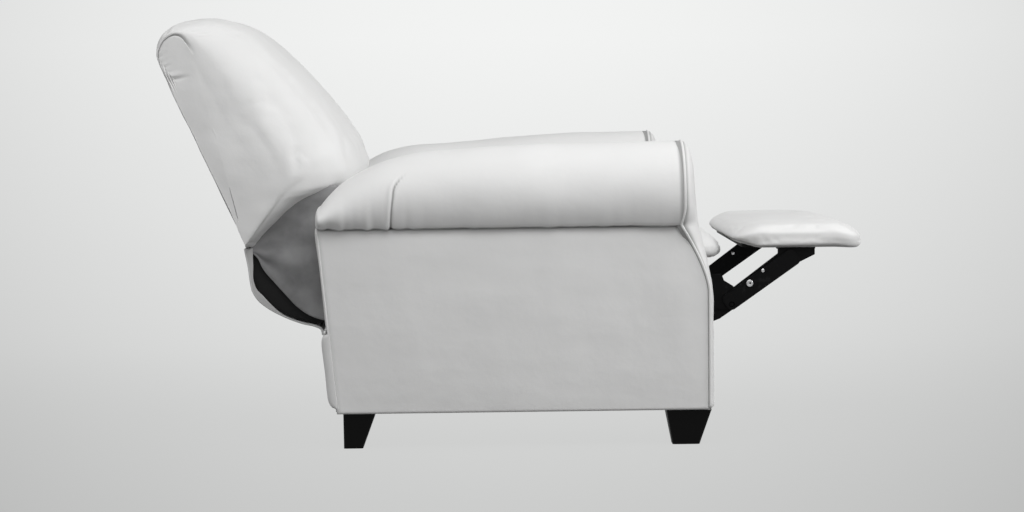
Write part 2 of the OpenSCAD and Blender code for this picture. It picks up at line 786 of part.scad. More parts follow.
hinge_top_at = [-back_t*0.34, back_t*0.466];
module back_hinge(side) {
  color([0.1, 0.1, 0.1]) on_side(side)
    across(hinge_y - hinge_t - fit, hinge_y - fit) difference() {
      hull() {
        translate(hinge) circle(r = hinge_r, $fn = 32);
        translate(back_place(hinge_top_at)) circle(r = hinge_r, $fn = 32);
      }
      translate(hinge) circle(r = pin_r + 1 + pin_clear, $fn = 48);
    }
}

arm_panel_outer(-1);  // arm_panel_outer_right
arm_panel_outer(1);  // arm_panel_outer_left
arm_panel_inner(-1);  // arm_panel_inner_right
arm_panel_inner(1);  // arm_panel_inner_left
arm_front(-1);  // arm_front_right
arm_front(1);  // arm_front_left
arm_roll(-1);  // arm_roll_right
arm_roll(1);  // arm_roll_left
arm_scroll(-1);  // arm_scroll_right
arm_scroll(1);  // arm_scroll_left
arm_post_front(-1);  // arm_post_front_right
arm_post_front(1);  // arm_post_front_left
arm_post_rear(-1);  // arm_post_rear_right
arm_post_rear(1);  // arm_post_rear_left
side_rail(-1);  // side_rail_right
side_rail(1);  // side_rail_left
cross_rail(front_rail_x, leg_h, rail_h);  // front_rail
cross_rail(rear_rail_x, leg_h, 2*rail_h);  // rear_rail
rear_panel();
dust_cover();
leg(-1, front_leg_x, front_leg_l, 0.36);  // leg_front_right
leg(1, front_leg_x, front_leg_l, 0.36);  // leg_front_left
leg(-1, rear_leg_x, rear_leg_l, 0);  // leg_rear_right
leg(1, rear_leg_x, rear_leg_l, 0);  // leg_rear_left
leg_bolts();
mech_plate(-1);  // mech_plate_right
mech_plate(1);  // mech_plate_left
seat_rail(-1);  // seat_rail_right
seat_rail(1);  // seat_rail_left
seat_cross(seat_rail_front - seat_cross_l - 2);  // seat_front_rail
seat_rear_rail();
seat_springs();
seat_cushion();
seat_hinge(-1);  // seat_hinge_right
seat_hinge(1);  // seat_hinge_left
back_post(-1);  // back_post_right
back_post(1);  // back_post_left
back_rail(back_l - board_end - top_rail_drop, frame_v);  // back_top_rail
back_rail(low_rail_u, frame_v);  // back_bottom_rail
back_straps();
back_pillow();
back_lumbar();
outside_back();
back_flap();
back_hinge(-1);  // back_hinge_right
back_hinge(1);  // back_hinge_left
swing_link(-1);  // swing_link_right
swing_link(1);  // swing_link_left
torque_tube();
guide_link(-1);  // guide_link_right
guide_link(1);  // guide_link_left
lift_link(-1);  // lift_link_right
lift_link(1);  // lift_link_left
tilt_link(-1);  // tilt_link_right
tilt_link(1);  // tilt_link_left
footrest_bracket(-1);  // footrest_bracket_right
footrest_bracket(1);  // footrest_bracket_left
footrest_board();
footrest_pad();
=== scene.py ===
"""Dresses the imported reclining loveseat: leather panels and padding, lining, enamelled links and legs."""

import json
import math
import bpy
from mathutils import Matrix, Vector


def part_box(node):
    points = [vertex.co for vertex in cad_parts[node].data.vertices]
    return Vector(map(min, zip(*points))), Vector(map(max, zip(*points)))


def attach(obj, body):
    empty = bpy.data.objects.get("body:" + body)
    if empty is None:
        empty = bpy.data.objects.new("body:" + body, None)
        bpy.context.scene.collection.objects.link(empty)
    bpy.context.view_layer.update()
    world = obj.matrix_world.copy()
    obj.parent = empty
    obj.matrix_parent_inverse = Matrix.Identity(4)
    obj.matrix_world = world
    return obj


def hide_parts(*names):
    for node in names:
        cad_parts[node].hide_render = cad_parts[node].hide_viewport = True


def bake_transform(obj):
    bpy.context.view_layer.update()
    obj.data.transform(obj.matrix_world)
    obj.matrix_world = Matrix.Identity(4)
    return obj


bl_info = {
    "name": "Reclining loveseat upholstery",
    "version": (1, 0, 0),
    "blender": (4, 5, 0),
    "location": "View3D > Sidebar > Loveseat",
    "description": "Builds the leather, padding, lining and metalwork of a push-back reclining loveseat",
    "category": "Add Mesh",
}

import bmesh
import bpy
import numpy as np
from mathutils import Matrix

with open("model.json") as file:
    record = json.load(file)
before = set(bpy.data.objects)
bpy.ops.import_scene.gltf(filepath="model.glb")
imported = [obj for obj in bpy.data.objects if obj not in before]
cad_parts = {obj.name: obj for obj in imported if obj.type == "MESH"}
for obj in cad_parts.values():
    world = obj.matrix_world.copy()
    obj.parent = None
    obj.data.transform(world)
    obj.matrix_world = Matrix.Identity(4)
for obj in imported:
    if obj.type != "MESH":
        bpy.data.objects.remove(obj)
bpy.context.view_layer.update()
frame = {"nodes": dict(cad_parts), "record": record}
SIDES = {"right": -1, "left": 1}

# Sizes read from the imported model
PANEL_LO, PANEL_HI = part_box("arm_panel_outer_left")
ROLL_LO, ROLL_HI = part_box("arm_roll_left")
LEG_H = PANEL_LO.z
SEAM_Z = PANEL_HI.z
ARM_OUT = PANEL_HI.y
ARM_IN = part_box("arm_panel_inner_left")[0].y
ROLL_Y = (ROLL_LO.y + ROLL_HI.y) / 2
ROLL_R = (ROLL_HI.y - ROLL_LO.y) / 2
CROWN_Z = ROLL_HI.z
MID_Z = CROWN_Z - ROLL_R
SEAM_HALF = math.sqrt(ROLL_R**2 - (MID_Z - SEAM_Z) ** 2)

# Lengths of the base, forward from its rear bottom corner, which lies at REAR
BASE_L = 0.808
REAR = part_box("arm_front_left")[1].x - BASE_L
REAR_LEAN = 0.039
FRONT_SETBACK = 0.048
SETBACK_Z = 0.330
ARM_REAR = -0.042
ARM_FRONT = 0.742

# The back leans from its foot: u runs up its rear line and v forward from it
BACK_FOOT = (-0.205, 0.416)
BACK_LEAN = math.radians(24.8)
BACK_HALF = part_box("back_pillow")[1].y


def colour_setting(name, description, default):
    """Setting for a colour."""
    return bpy.props.FloatVectorProperty(name=name, description=description, default=default,
                                         subtype="COLOR", size=3, min=0, max=1)


def length_setting(name, description, default):
    """Setting for a length."""
    return bpy.props.FloatProperty(name=name, description=description, default=default, unit="LENGTH")


class LeatherSettings(bpy.types.PropertyGroup):
    """Finish of the leather and the lining."""

    colour: colour_setting("Leather", "Colour of the leather", (0.80, 0.80, 0.795))
    # The lining's dark colour is partly painted shade of the recesses under the back and the seat.
    lining: colour_setting("Lining", "Colour of the dark lining", (0.27, 0.27, 0.273))
    roughness: bpy.props.FloatProperty(
        name="Roughness", description="Roughness of the leather's finish", default=0.55, min=0, max=1)
    grain: length_setting("Grain", "Width of one pebble of the grain", 0.0016)
    crease: length_setting("Crease", "Depth of the soft creases in a tight panel", 0.0007)


class PaddingSettings(bpy.types.PropertyGroup):
    """How full the padding is."""

    panel: length_setting("Panel crown", "How far a side panel swells", 0.004)
    side: length_setting("Side rounding", "Width over which the back turns from side to front", 0.080)
    pressure: bpy.props.FloatProperty(
        name="Pressure", description="Pressure that fills the padding while it is shaped", default=3.0)
    welt: length_setting("Welt", "Radius of the welts", 0.0028)


class StageSettings(bpy.types.PropertyGroup):
    """Floor, lamps and camera."""

    # The glow of the floor and backdrop runs from dim at the near edge to pale at the backdrop's top: a
    # painted fall-off of light.
    pale: colour_setting("Backdrop", "Colour at the top of the backdrop", (0.875, 0.882, 0.875))
    dim: colour_setting("Floor", "Colour at the near edge of the floor", (0.575, 0.58, 0.575))
    lens: bpy.props.FloatProperty(
        name="Lens", description="Focal length of the camera, in millimetres", default=95.45)
    key: bpy.props.FloatProperty(
        name="Key lamp", description="Power of the overhead lamp, in watts", default=25.0)
    rim: bpy.props.FloatProperty(
        name="Front lamp", description="Power of the lamp before the footrest, in watts", default=34.0)


# Shaping helpers


def smooth(t):
    """Rises from 0 to 1 as t does, level at both ends: 3t squared less 2t cubed."""
    t = np.clip(t, 0, 1)
    return t * t * (3 - 2 * t)


def mix(a, b, t):
    """The value the share t of the way from a to b."""
    return a + (b - a) * t


def bell(d, width):
    """Bell curve: e to minus the square of d over width."""
    return np.exp(-(d / width) ** 2)


def crowded(n):
    """n shares from -1 to 1 that crowd at both ends: sines of even angles."""
    return np.sin(np.linspace(-math.pi / 2, math.pi / 2, n))


def quarter(y, half, reach):
    """Quarter circle that falls from 1 to 0 over the last reach of the half width."""
    return np.sqrt(1 - np.clip((y - half + reach) / reach, 0, 1) ** 2)


def metres(*pairs):
    """Points given in millimetres."""
    return [(a / 1000, b / 1000) for a, b in pairs]


def through(keys, values):
    """Function of t that passes through the values at the keys, in cubic pieces with mean slopes."""
    k = np.asarray(keys, float)
    v = np.asarray(values, float)
    slope = np.gradient(v, k)

    def at(t):
        t = np.clip(t, k[0], k[-1])
        i = np.clip(np.searchsorted(k, t) - 1, 0, len(k) - 2)
        h = k[i + 1] - k[i]
        s = (t - k[i]) / h
        return ((2 * s**3 - 3 * s**2 + 1) * v[i] + (s**3 - 2 * s**2 + s) * h * slope[i]
                + (3 * s**2 - 2 * s**3) * v[i + 1] + (s**3 - s**2) * h * slope[i + 1])

    return at


def steps(points):
    """Length of each step along a line of points."""
    return np.linalg.norm(np.diff(points, axis=0), axis=1)


def line_through(points, n):
    """n points evenly along a smooth line through the given ones, by chord length."""
    chord = np.concatenate([[0], np.cumsum(steps(points))])
    t = np.linspace(0, chord[-1], n)
    return np.stack([through(chord, values)(t) for values in zip(*points)], -1)


def pair_through(first, second, shares):
    """Two outlines sampled point for point, at shares of the first one's chord length."""
    key = np.concatenate([[0], np.cumsum(steps(first))])
    t = shares * steps(first).sum()
    return tuple(np.stack([through(key, values)(t) for values in zip(*m)], -1) for m in (first, second))


def ripple(a, b, size, seed):
    """Soft random waves: the sum of sixteen sine waves of about that size, turned every way, over six."""
    rng = np.random.RandomState(seed)
    turn = rng.uniform(0, 2 * math.pi, 16)
    length = size * rng.uniform(0.6, 1.7, 16)
    phase = rng.uniform(0, 2 * math.pi, 16)
    along = (a[..., None] * np.cos(turn) + b[..., None] * np.sin(turn)) / length
    return np.sin(2 * math.pi * along + phase).sum(axis=-1) / 6


def normals_of(points, wrap=False):
    """Unit normals of a grid: the cross product of its two directions at each point."""
    du = np.gradient(points, axis=0)
    if wrap:
        dv = (np.roll(points, -1, axis=1) - np.roll(points, 1, axis=1)) / 2
    else:
        dv = np.gradient(points, axis=1)
    n = np.cross(du, dv)
    return n / np.maximum(np.linalg.norm(n, axis=-1, keepdims=True), 1e-12)


def push(points, amount, wrap=False, outward=1):
    """Moves each point of a grid along its normal by its amount."""
    return points + normals_of(points, wrap) * (amount * outward)[..., None]


def grid_mesh(name, points, wrap=False, seam=None, cap=False):
    """Mesh over a grid of points: rows by columns, each four neighbours making a face."""
    rows, cols = points.shape[:2]
    index = np.arange(rows * cols).reshape(rows, cols)
    if wrap:
        index = np.hstack([index, index[:, :1]])
    faces = np.stack([index[:-1, :-1], index[1:, :-1], index[1:, 1:], index[:-1, 1:]], -1).reshape(-1, 4)
    shifted = points.reshape(-1, 3) + np.array([REAR, 0, 0])
    mesh = bpy.data.meshes.new(name)
    mesh.from_pydata(shifted.tolist(), [], faces.tolist())
    # The seam attribute darkens the leather: dirt in the seams, and painted shade in grooves, folds and
    # under overhangs.
    attribute = mesh.attributes.new("seam", "FLOAT", "POINT")
    if seam is not None:
        attribute.data.foreach_set("value", np.broadcast_to(seam, (rows, cols)).ravel().astype(np.float32))
    piece = bpy.data.objects.new(name, mesh)
    bpy.context.scene.collection.objects.link(piece)
    close_up(mesh, cap)
    return piece


def close_up(mesh, cap=False):
    """Joins doubled points, closes open ends if asked, and turns the faces outwards."""
    work = bmesh.new()
    work.from_mesh(mesh)
    bmesh.ops.remove_doubles(work, verts=work.verts, dist=0.00002)
    bmesh.ops.dissolve_degenerate(work, edges=work.edges, dist=0.00001)
    if cap:
        bmesh.ops.holes_fill(work, edges=[e for e in work.edges if e.is_boundary], sides=0)
    bmesh.ops.recalc_face_normals(work, faces=work.faces)
    work.to_mesh(mesh)
    work.free()
    mesh.polygons.foreach_set("use_smooth", [True] * len(mesh.polygons))
    mesh.update()


def tube(name, path, radius, sides=12):
    """Round bar along a path: circles across the path's own direction, closed by a point at each end."""
    along = np.gradient(path, axis=0)
    along /= np.linalg.norm(along, axis=1, keepdims=True)
    least = np.eye(3)[np.argmin(np.abs(along).max(axis=0))]
    first = np.cross(along, least)
    first /= np.linalg.norm(first, axis=1, keepdims=True)
    second = np.cross(along, first)
    angle = np.linspace(0, 2 * math.pi, sides, endpoint=False)[:, None]
    ring = first[:, None] * np.cos(angle) + second[:, None] * np.sin(angle)
    ends = [np.repeat(path[i][None, None], sides, axis=1) for i in (0, -1)]
    return grid_mesh(name, np.concatenate([ends[0], path[:, None] + ring * radius, ends[1]]), wrap=True)


def finish_piece(piece, body, material, *nodes, slot="white_leather", fill=None):
    """Gives a piece its material and the body it rides on, and hides the nodes it stands for; slot and fill
    are not used.
    """
    piece.data.materials.clear()
    piece.data.materials.append(material)
    if body:
        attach(piece, body)
    if nodes:
        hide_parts(*nodes)


def coordinates(mesh):
    """A mesh's points as one flat array."""
    flat = np.zeros(len(mesh.vertices) * 3)
    mesh.vertices.foreach_get("co", flat)
    return flat


def fill_padding(piece, pressure, cap, held):
    """Swells a piece as air-filled cloth, each point as firm as held says, and none moved beyond cap."""
    mesh = piece.data
    rest = coordinates(mesh)
    group = piece.vertex_groups.new(name="held")
    for level in np.unique(held[held > 0]):
        group.add(np.flatnonzero(held == level).tolist(), float(level), "REPLACE")
    cloth = piece.modifiers.new("Filling", "CLOTH")
    settings = {"quality": 5, "mass": 0.4, "tension_stiffness": 14, "compression_stiffness": 14,
                "shear_stiffness": 7, "bending_stiffness": 0.6, "use_pressure": True,
                "uniform_pressure_force": pressure, "vertex_group_mass": "held"}
    for key, value in settings.items():
        setattr(cloth.settings, key, value)
    cloth.settings.effector_weights.gravity = 0
    frames = 18
    scene = bpy.context.scene
    for times in (scene, cloth.point_cache):
        times.frame_start = 1
        times.frame_end = frames
    for number in range(1, frames + 1):
        scene.frame_set(number)
    shaped = piece.evaluated_get(bpy.context.evaluated_depsgraph_get())
    step = (coordinates(shaped.data) - rest).reshape(-1, 3)
    size = np.linalg.norm(step, axis=1, keepdims=True)
    step *= np.minimum(1, cap / np.maximum(size, 1e-9))
    piece.modifiers.remove(cloth)
    piece.vertex_groups.clear()
    mesh.vertices.foreach_set("co", rest + step.ravel())
    mesh.update()
    scene.frame_set(1)


def filled_cover(context, name, points, seam, firmness, body, node, cap, fill):
    """Closed leather cover of a padded node, filled as cloth; firmness tells how fast each point is held."""
    piece = grid_mesh(name, points, wrap=True, seam=seam)
    place = coordinates(piece.data).reshape(-1, 3) - np.array([REAR, 0, 0])
    fill_padding(piece, context.scene.loveseat_padding.pressure, cap, firmness(place))
    finish_piece(piece, body, white_leather(context), node, slot="white_padding", fill=fill)


# Materials


def feed(tree, value, socket):
    """Joins an output to an input, or sets the input to a value."""
    if isinstance(value, bpy.types.NodeSocket):
        tree.links.new(value, socket)
    else:
        socket.default_value = value


def add_node(tree, kind, *inputs, **values):
    """Adds a node and feeds its inputs, in order or by name; other values set its properties."""
    made = tree.nodes.new(kind)
    for key, value in values.items():
        if hasattr(made, key):
            setattr(made, key, value)
        else:
            feed(tree, value, made.inputs[key.replace("_", " ")])
    for socket, value in zip(made.inputs, inputs):
        feed(tree, value, socket)
    return made


class Shader:
    """Node graph of one material, with its Principled node and Object coordinates."""

    def __init__(self, name):
        self.material = bpy.data.materials.new(name)
        self.material.use_nodes = True
        self.tree = self.material.node_tree
        self.surface = self.tree.nodes["Principled BSDF"]
        self.place = self.node("ShaderNodeTexCoord").outputs["Object"]

    def node(self, kind, *inputs, **values):
        """Adds a node to the material."""
        return add_node(self.tree, kind, *inputs, **values)

    def finish(self, **values):
        """Feeds the Principled node's inputs by name, and gives the material."""
        for key, value in values.items():
            feed(self.tree, value, self.surface.inputs[key.replace("_", " ")])
        return self.material

    def noise(self, scale, detail=3.0, stretch=None):
        """Noise over the piece, with scale waves to the metre."""
        place = self.place
        if stretch:
            place = self.node("ShaderNodeMapping", place, Scale=stretch).outputs[0]
        return self.node("ShaderNodeTexNoise", place, Scale=scale, Detail=detail).outputs["Fac"]

    def ramp(self, fac, low, high, a=0.0, b=1.0):
        """Maps fac from low and high to a and b, held within them."""
        made = self.node("ShaderNodeMapRange", fac, From_Min=low, From_Max=high, To_Min=a, To_Max=b)
        return made.outputs["Result"]

    def maths(self, operation, a, b):
        """One sum of two numbers or outputs."""
        return self.node("ShaderNodeMath", a, b, operation=operation).outputs[0]

    def blend(self, fac, a, b):
        """Colour between a and b, each a colour or an output."""
        made = self.node("ShaderNodeMix", fac, data_type="RGBA")
        for socket, value in zip(made.inputs[6:8], (a, b)):
            feed(self.tree, (*value, 1) if isinstance(value, tuple) else value, socket)
        return made.outputs[2]

    def bump(self, height, distance, strength, **before):
        """Bump from a height, on top of another one given as Normal."""
        made = self.node("ShaderNodeBump", Strength=strength, Distance=distance, Height=height, **before)
        return made.outputs["Normal"]

    def cloudy(self, colour, scale, dark, pale, dirt_and_shade_tone, most):
        """Cloudy tone between two shares of a colour, and a third, darker one where the mesh's seam
        attribute is high: dirt in the seams and painted shade in grooves, folds and under overhangs.
        """
        cloud = self.ramp(self.noise(scale, 4.0), 0.3, 0.7)
        tone = self.blend(cloud, tinted(colour, dark), tinted(colour, pale))
        dirt_and_shade = self.node("ShaderNodeAttribute", attribute_name="seam").outputs["Fac"]
        return self.blend(self.ramp(dirt_and_shade, 0.0, 1.0, 0.0, most), tone, tinted(colour, dirt_and_shade_tone))

    def mixed(self, fac, a, b):
        """Shader between two others."""
        return self.node("ShaderNodeMixShader", fac, a, b).outputs[0]


def tinted(colour, share):
    """The colour times a share."""
    return tuple(c * share for c in colour)


def leather(name, settings):
    """Smooth pale leather: pebbled grain, faint cloudy tone, fine creases, and a darker tone from the seam
    attribute, partly dirt in the seams and partly painted shade in grooves and under overhangs.
    """
    s = Shader(name)
    colour, rough = tuple(settings.colour), settings.roughness
    tone = s.cloudy(colour, 5.0, dark=0.955, pale=1, dirt_and_shade_tone=0.22, most=0.85)
    pebble = s.node("ShaderNodeTexVoronoi", s.place, Scale=1 / settings.grain).outputs["Distance"]
    grain = s.maths("ADD", s.maths("MULTIPLY", pebble, 0.7), s.maths("MULTIPLY", s.noise(620.0, 2.0), 0.5))
    crease = s.bump(s.ramp(s.noise(22.0, 3.0), 0.35, 0.65), settings.crease, 0.45)
    return s.finish(Base_Color=tone, Normal=s.bump(grain, 0.00012, 0.5, Normal=crease),
                    Roughness=s.ramp(s.noise(9.0, 3.0), 0.3, 0.7, rough - 0.05, rough + 0.08),
                    Specular_IOR_Level=0.30, Sheen_Weight=0.05)


def lining_cloth(name, colour):
    """Woven lining: two sets of fine threads crossed, with a cloudy tone."""
    s = Shader(name)
    warp, weft = (s.node("ShaderNodeTexWave", s.place, wave_type="BANDS", bands_direction=axis, Scale=260.0,
                         Distortion=0.6).outputs["Fac"] for axis in ("X", "Z"))
    tone = s.cloudy(colour, 14.0, dark=0.72, pale=1.3, dirt_and_shade_tone=0.25, most=0.8)
    return s.finish(Base_Color=tone, Normal=s.bump(s.maths("MULTIPLY", warp, weft), 0.0004, 0.6),
                    Roughness=0.9, Sheen_Weight=0.2)


def enamel(name, colour, roughness):
    """Black enamel on pressed steel: faint orange peel and worn, paler spots."""
    s = Shader(name)
    worn = s.ramp(s.noise(70.0, 5.0), 0.62, 0.72)
    return s.finish(Base_Color=s.blend(worn, colour, tinted(colour, 3.0)), Specular_IOR_Level=0.10,
                    Roughness=s.ramp(s.noise(40.0), 0.3, 0.7, roughness - 0.08, roughness + 0.1),
                    Normal=s.bump(s.noise(300.0, 2.0), 0.00015, 0.4))


def bare_steel(name, colour, roughness):
    """Bright steel with fine turned scratches."""
    s = Shader(name)
    scratch = s.noise(900.0, 2.0, stretch=(1, 0.08, 1))
    return s.finish(Base_Color=(*colour, 1), Metallic=1.0, Normal=s.bump(scratch, 0.00005, 0.4),
                    Roughness=s.ramp(scratch, 0.3, 0.7, roughness - 0.1, roughness + 0.1))


def timber(name, colour, roughness, depth=0.35):
    """Wood with long streaks of grain along X and fine pores."""
    s = Shader(name)
    streak = s.ramp(s.noise(30.0, 6.0, stretch=(0.12, 2.2, 2.2)), 0.3, 0.7)
    return s.finish(Base_Color=s.blend(streak, tinted(colour, 1 - depth), colour), Roughness=roughness,
                    Normal=s.bump(s.noise(420.0, 2.0, stretch=(0.08, 1, 1)), 0.0002, 0.4),
                    Specular_IOR_Level=0.10)


def material_named(name, maker, *values):
    """The material of that name, made once."""
    return bpy.data.materials.get(name) or maker(name, *values)


def white_leather(context):
    """The leather of every outer panel."""
    return material_named("white_leather_cover", leather, context.scene.loveseat_leather)


def black_cloth():
    """The black cloth inside and under the frame, also used for the black sheets of painted shade behind the
    back's flap.
    """
    return material_named("black_dust_cloth", lining_cloth, (0.0035, 0.0035, 0.0036))


def lining_with_painted_shade(context):
    """The lining under the back and the seat's deck, far darker than the leather: partly its own darker
    cloth, partly painted shade of the recesses it sits in.
    """
    return material_named("grey_lining_cloth", lining_cloth, tuple(context.scene.loveseat_leather.lining))


# Arms


def front_line(z):
    """Forward reach of the arm's front corner at height z: level, then set back by a power of the height."""
    rise = np.maximum(0, (z - SETBACK_Z) / (SEAM_Z - SETBACK_Z))
    return BASE_L - FRONT_SETBACK * rise**1.5


def welt_line(z):
    """Forward reach of the front panel's welt: behind the front corner, and at the roll's end above it."""
    corner = front_line(np.minimum(z, SEAM_Z))
    below = corner - 0.012 * (1 + 1.2 * (BASE_L - corner) / FRONT_SETBACK)
    return mix(below, ARM_FRONT, smooth((z - SEAM_Z + 0.012) / 0.05))


FRONT_CROWN = through([0.076, 0.25, 0.33, 0.37, 0.41, 0.445, 0.478, 0.53, 0.65],
                      [0.808, 0.8085, 0.807, 0.801, 0.793, 0.785, 0.777, 0.771, 0.771])


def rear_line(z):
    """Rear edge of the arm at height z: it leans out evenly up to the seam."""
    return -REAR_LEAN * (z - LEG_H) / (SEAM_Z - LEG_H)


def front_middle(z):
    """Across: the middle and half width of the arm's front at height z, from the square post to the roll."""
    t = smooth((z - SEAM_Z + 0.05) / 0.05)
    middle = mix((ARM_IN + ARM_OUT) / 2, ROLL_Y, t)
    circle = np.sqrt(np.maximum(0, ROLL_R**2 - (np.maximum(z, SEAM_Z) - MID_Z) ** 2))
    return middle, mix((ARM_OUT - ARM_IN) / 2, circle, t)


def arm_front_panel(side, name):
    """Padded front of an arm, from the leg up over the roll's end.

    Across v and up z the surface stands in front of the welt by its crown times (1 - q to the 2.6) to the
    1 / 2.2, where q is |v| on the post and the distance from the roll's centre on the round end.
    """
    straight = np.linspace(0, 1, 70)
    low = LEG_H + (MID_Z - LEG_H) * straight
    arc = np.sin(np.linspace(0, math.pi / 2, 26)[1:])
    z = np.concatenate([low, MID_Z + ROLL_R * arc])
    v = crowded(45)
    zz, vv = np.meshgrid(z, v, indexing="ij")
    middle, half = front_middle(zz)
    up = np.maximum(0, zz - MID_Z) / ROLL_R
    q = np.sqrt(np.clip(vv**2 * (1 - up**2) + up**2, 0, 1))
    crown = FRONT_CROWN(zz) - welt_line(zz)
    foot = np.sqrt(1 - (1 - np.clip((zz - LEG_H) / 0.009, 0, 1)) ** 2)
    x = welt_line(zz) + crown * (1 - q**2.6) ** (1 / 2.2) * foot
    x = x + 0.0007 * ripple(zz, vv * half, 0.05, 21 + side) * (1 - q**4)
    y = middle + vv * half
    body = np.stack([x, side * y, zz], axis=-1)
    tuck = body[:, [0, -1]].copy()
    tuck[..., 0] -= 0.012
    tuck[..., 1] += side * np.array([0.006, -0.006])
    points = np.concatenate([tuck[:, :1], body, tuck[:, 1:]], axis=1)
    q_all = np.concatenate([q[:, :1] * 0 + 1, q, q[:, :1] * 0 + 1], axis=1)
    # Painted shade and dirt: the panel darkens towards its welts, where the leather turns in.
    seam = np.clip((q_all - 0.955) / 0.045, 0, 1) ** 2 * 0.8
    return grid_mesh(name, points, seam=seam)


def front_edge_path(side):
    """Path of the welt round an arm's front: up its outer corner, over the roll and down the inner one."""
    low = np.linspace(LEG_H + 0.004, SEAM_Z - 0.004, 50)
    start = math.asin((SEAM_Z - MID_Z) / ROLL_R)
    angle = np.linspace(start, math.pi - start, 60)
    middle, half = front_middle(low)
    z = MID_Z + ROLL_R * np.sin(angle)
    arch = np.stack([welt_line(z), ROLL_Y + ROLL_R * np.cos(angle), z], -1)
    up, down = (np.stack([welt_line(low), middle + half * way, low], -1) for way in (1, -1))
    return np.concatenate([up, arch, down[::-1]]) * (1, side, 1)


def arm_side_panel(side, outer, name, crown):
    """Side panel of an arm.

    A sheet between the rear line and the welt that swells by crown times (1 - s to the 4)(1 - t to the 4),
    with soft waves, and turns in round all four edges.
    """
    s = np.concatenate([[-1.0], crowded(90), [1.0]])
    t = np.concatenate([[-1.0], crowded(60), [1.0]])
    tt, ss = np.meshgrid(t, s, indexing="ij")
    z = mix(LEG_H, SEAM_Z - 0.002, (tt + 1) / 2)
    front = welt_line(np.minimum(z, SEAM_Z - 0.02)) - (0.001 if outer else 0.020)
    x = mix(rear_line(z) - 0.002, front, (ss + 1) / 2)
    swell = (1 - ss**4) * (1 - tt**4)
    edge = np.maximum(np.abs(ss), np.abs(tt))
    turn = 0.007 * (1 - np.sqrt(np.clip(1 - np.clip((edge - 0.975) / 0.025, 0, 1) ** 2, 0, 1)))
    wave = 0.0011 * ripple(x, z, 0.16, 5 + side + 3 * outer) + 0.0004 * ripple(x, z, 0.05, 9 + side)
    depth = crown * swell + wave * np.sqrt(swell) - turn
    depth[[0, -1]] -= 0.010
    depth[:, [0, -1]] -= 0.010
    y = (ARM_OUT - 0.001 + depth) if outer else (ARM_IN + 0.001 - depth)
    # Painted shade and dirt: the panel darkens at its top under the roll's overhang, and along its front and
    # rear edges.
    seam = np.clip((tt - 0.965) / 0.035, 0, 1) * 0.75
    seam = np.maximum(seam, np.clip((np.abs(ss) - 0.992) / 0.008, 0, 1) * 0.6)
    return grid_mesh(name, np.stack([x, side * y, z], -1), seam=seam)


ROLL_CROWN = through([-0.042, -0.031, 0.009, 0.05, 0.09, 0.138, 0.246, 0.353, 0.482, 0.612, 0.742],
                     [0.508, 0.522, 0.562, 0.589, 0.608, 0.623, 0.636, 0.642, 0.646, 0.648, 0.649])


def roll_top(x, side):
    """Height of the roll's crown: steep at the rear, then level; the left one sags by a bell curve."""
    return ROLL_CROWN(x) - (0.010 if side > 0 else 0.0) * bell(x - 0.27, 0.17)


DART = through([0.474, 0.534, 0.564, 0.576, 0.590], [0.118, 0.123, 0.129, 0.138, 0.154])


def arm_roll_cover(side, name):
    """Leather over an arm's roll.

    Each section is the arch z = seam + (radius times sine plus the centre's height) times h, where h is the
    crown's height over the front one's; it ends in a lip under the seam, and a rounded cap closes the rear.
    A stitched dart, fanned puckers behind it and gathers over the seam are pressed into it.
    """
    low = math.asin((MID_Z - SEAM_Z) / ROLL_R)
    angle = np.linspace(-low, math.pi + low, 72)
    y = ROLL_Y + ROLL_R * np.cos(angle)
    lift = MID_Z - SEAM_Z + ROLL_R * np.sin(angle)
    lip = np.linspace(1, 0, 5)[:-1]
    y = np.concatenate([ROLL_Y + SEAM_HALF - 0.016 * lip, y, (ROLL_Y - SEAM_HALF + 0.016 * lip)[::-1]])
    under = -0.0035 * np.sin(math.pi * lip)
    lift = np.concatenate([under, lift, under[::-1]])
    x = np.concatenate([np.linspace(ARM_REAR + 0.008, 0.10, 50)[:-1], np.linspace(0.10, 0.16, 40)[:-1],
                        np.linspace(0.16, ARM_FRONT, 90), [ARM_FRONT + 0.006]])
    xx, yy = np.meshgrid(x, y, indexing="ij")
    h = (roll_top(xx, side) - SEAM_Z) / (CROWN_Z - SEAM_Z)
    zz = SEAM_Z + np.where(lift > 0, lift * h, lift)
    tuck = np.where(xx > ARM_FRONT + 0.001, 0.94, 1.0)
    yy = ROLL_Y + (yy - ROLL_Y) * tuck
    points = np.stack([xx, yy, zz], -1)
    rise = np.clip(lift / ROLL_R, 0, None)
    outer = yy > ROLL_Y - 0.02
    d = xx - DART(zz)
    fade = smooth((0.592 - zz) / 0.03) * outer
    dart = (0.0022 * bell(d + 0.0075, 0.005) - 0.0042 * bell(d, 0.0022)) * fade
    rear = smooth((0.20 - xx) / 0.12)
    gather = np.exp(-rise / 0.30)
    fan = ripple(xx, zz * 0.18, 0.030, 31 + side) * (0.0022 * rear + 0.0007) * gather
    soft = 0.0012 * ripple(xx, yy + zz, 0.14, 37 + side)
    points = push(points, dart + fan + soft, outward=-1)
    squeeze = smooth((np.abs(xx - ARM_FRONT) < 0.02) * (1 - np.abs(xx - ARM_FRONT) / 0.02))
    points[..., 2] -= 0.0035 * squeeze * (zz > SEAM_Z)
    k = np.linspace(math.pi / 2, 0, 9)[:-1, None]
    middle = np.array([points[0, 0, 0], ROLL_Y, SEAM_Z + 0.010])
    rings = middle + (points[0] - middle) * np.cos(k)[..., None]
    rings[..., 0] -= 0.011 * np.sin(k)
    body = np.concatenate([rings, points])
    body[..., 1] *= side
    # Painted shade and dirt: darker along the dart's groove, on the lips tucked under the roll and at the
    # tucked front end.
    seam = np.zeros(body.shape[:2])
    seam[len(rings):] = bell(d, 0.0018) * fade * 0.8
    seam[:, :4] = seam[:, -4:] = 0.8
    seam[-3:] = 0.7
    return grid_mesh(name, body, seam=seam)


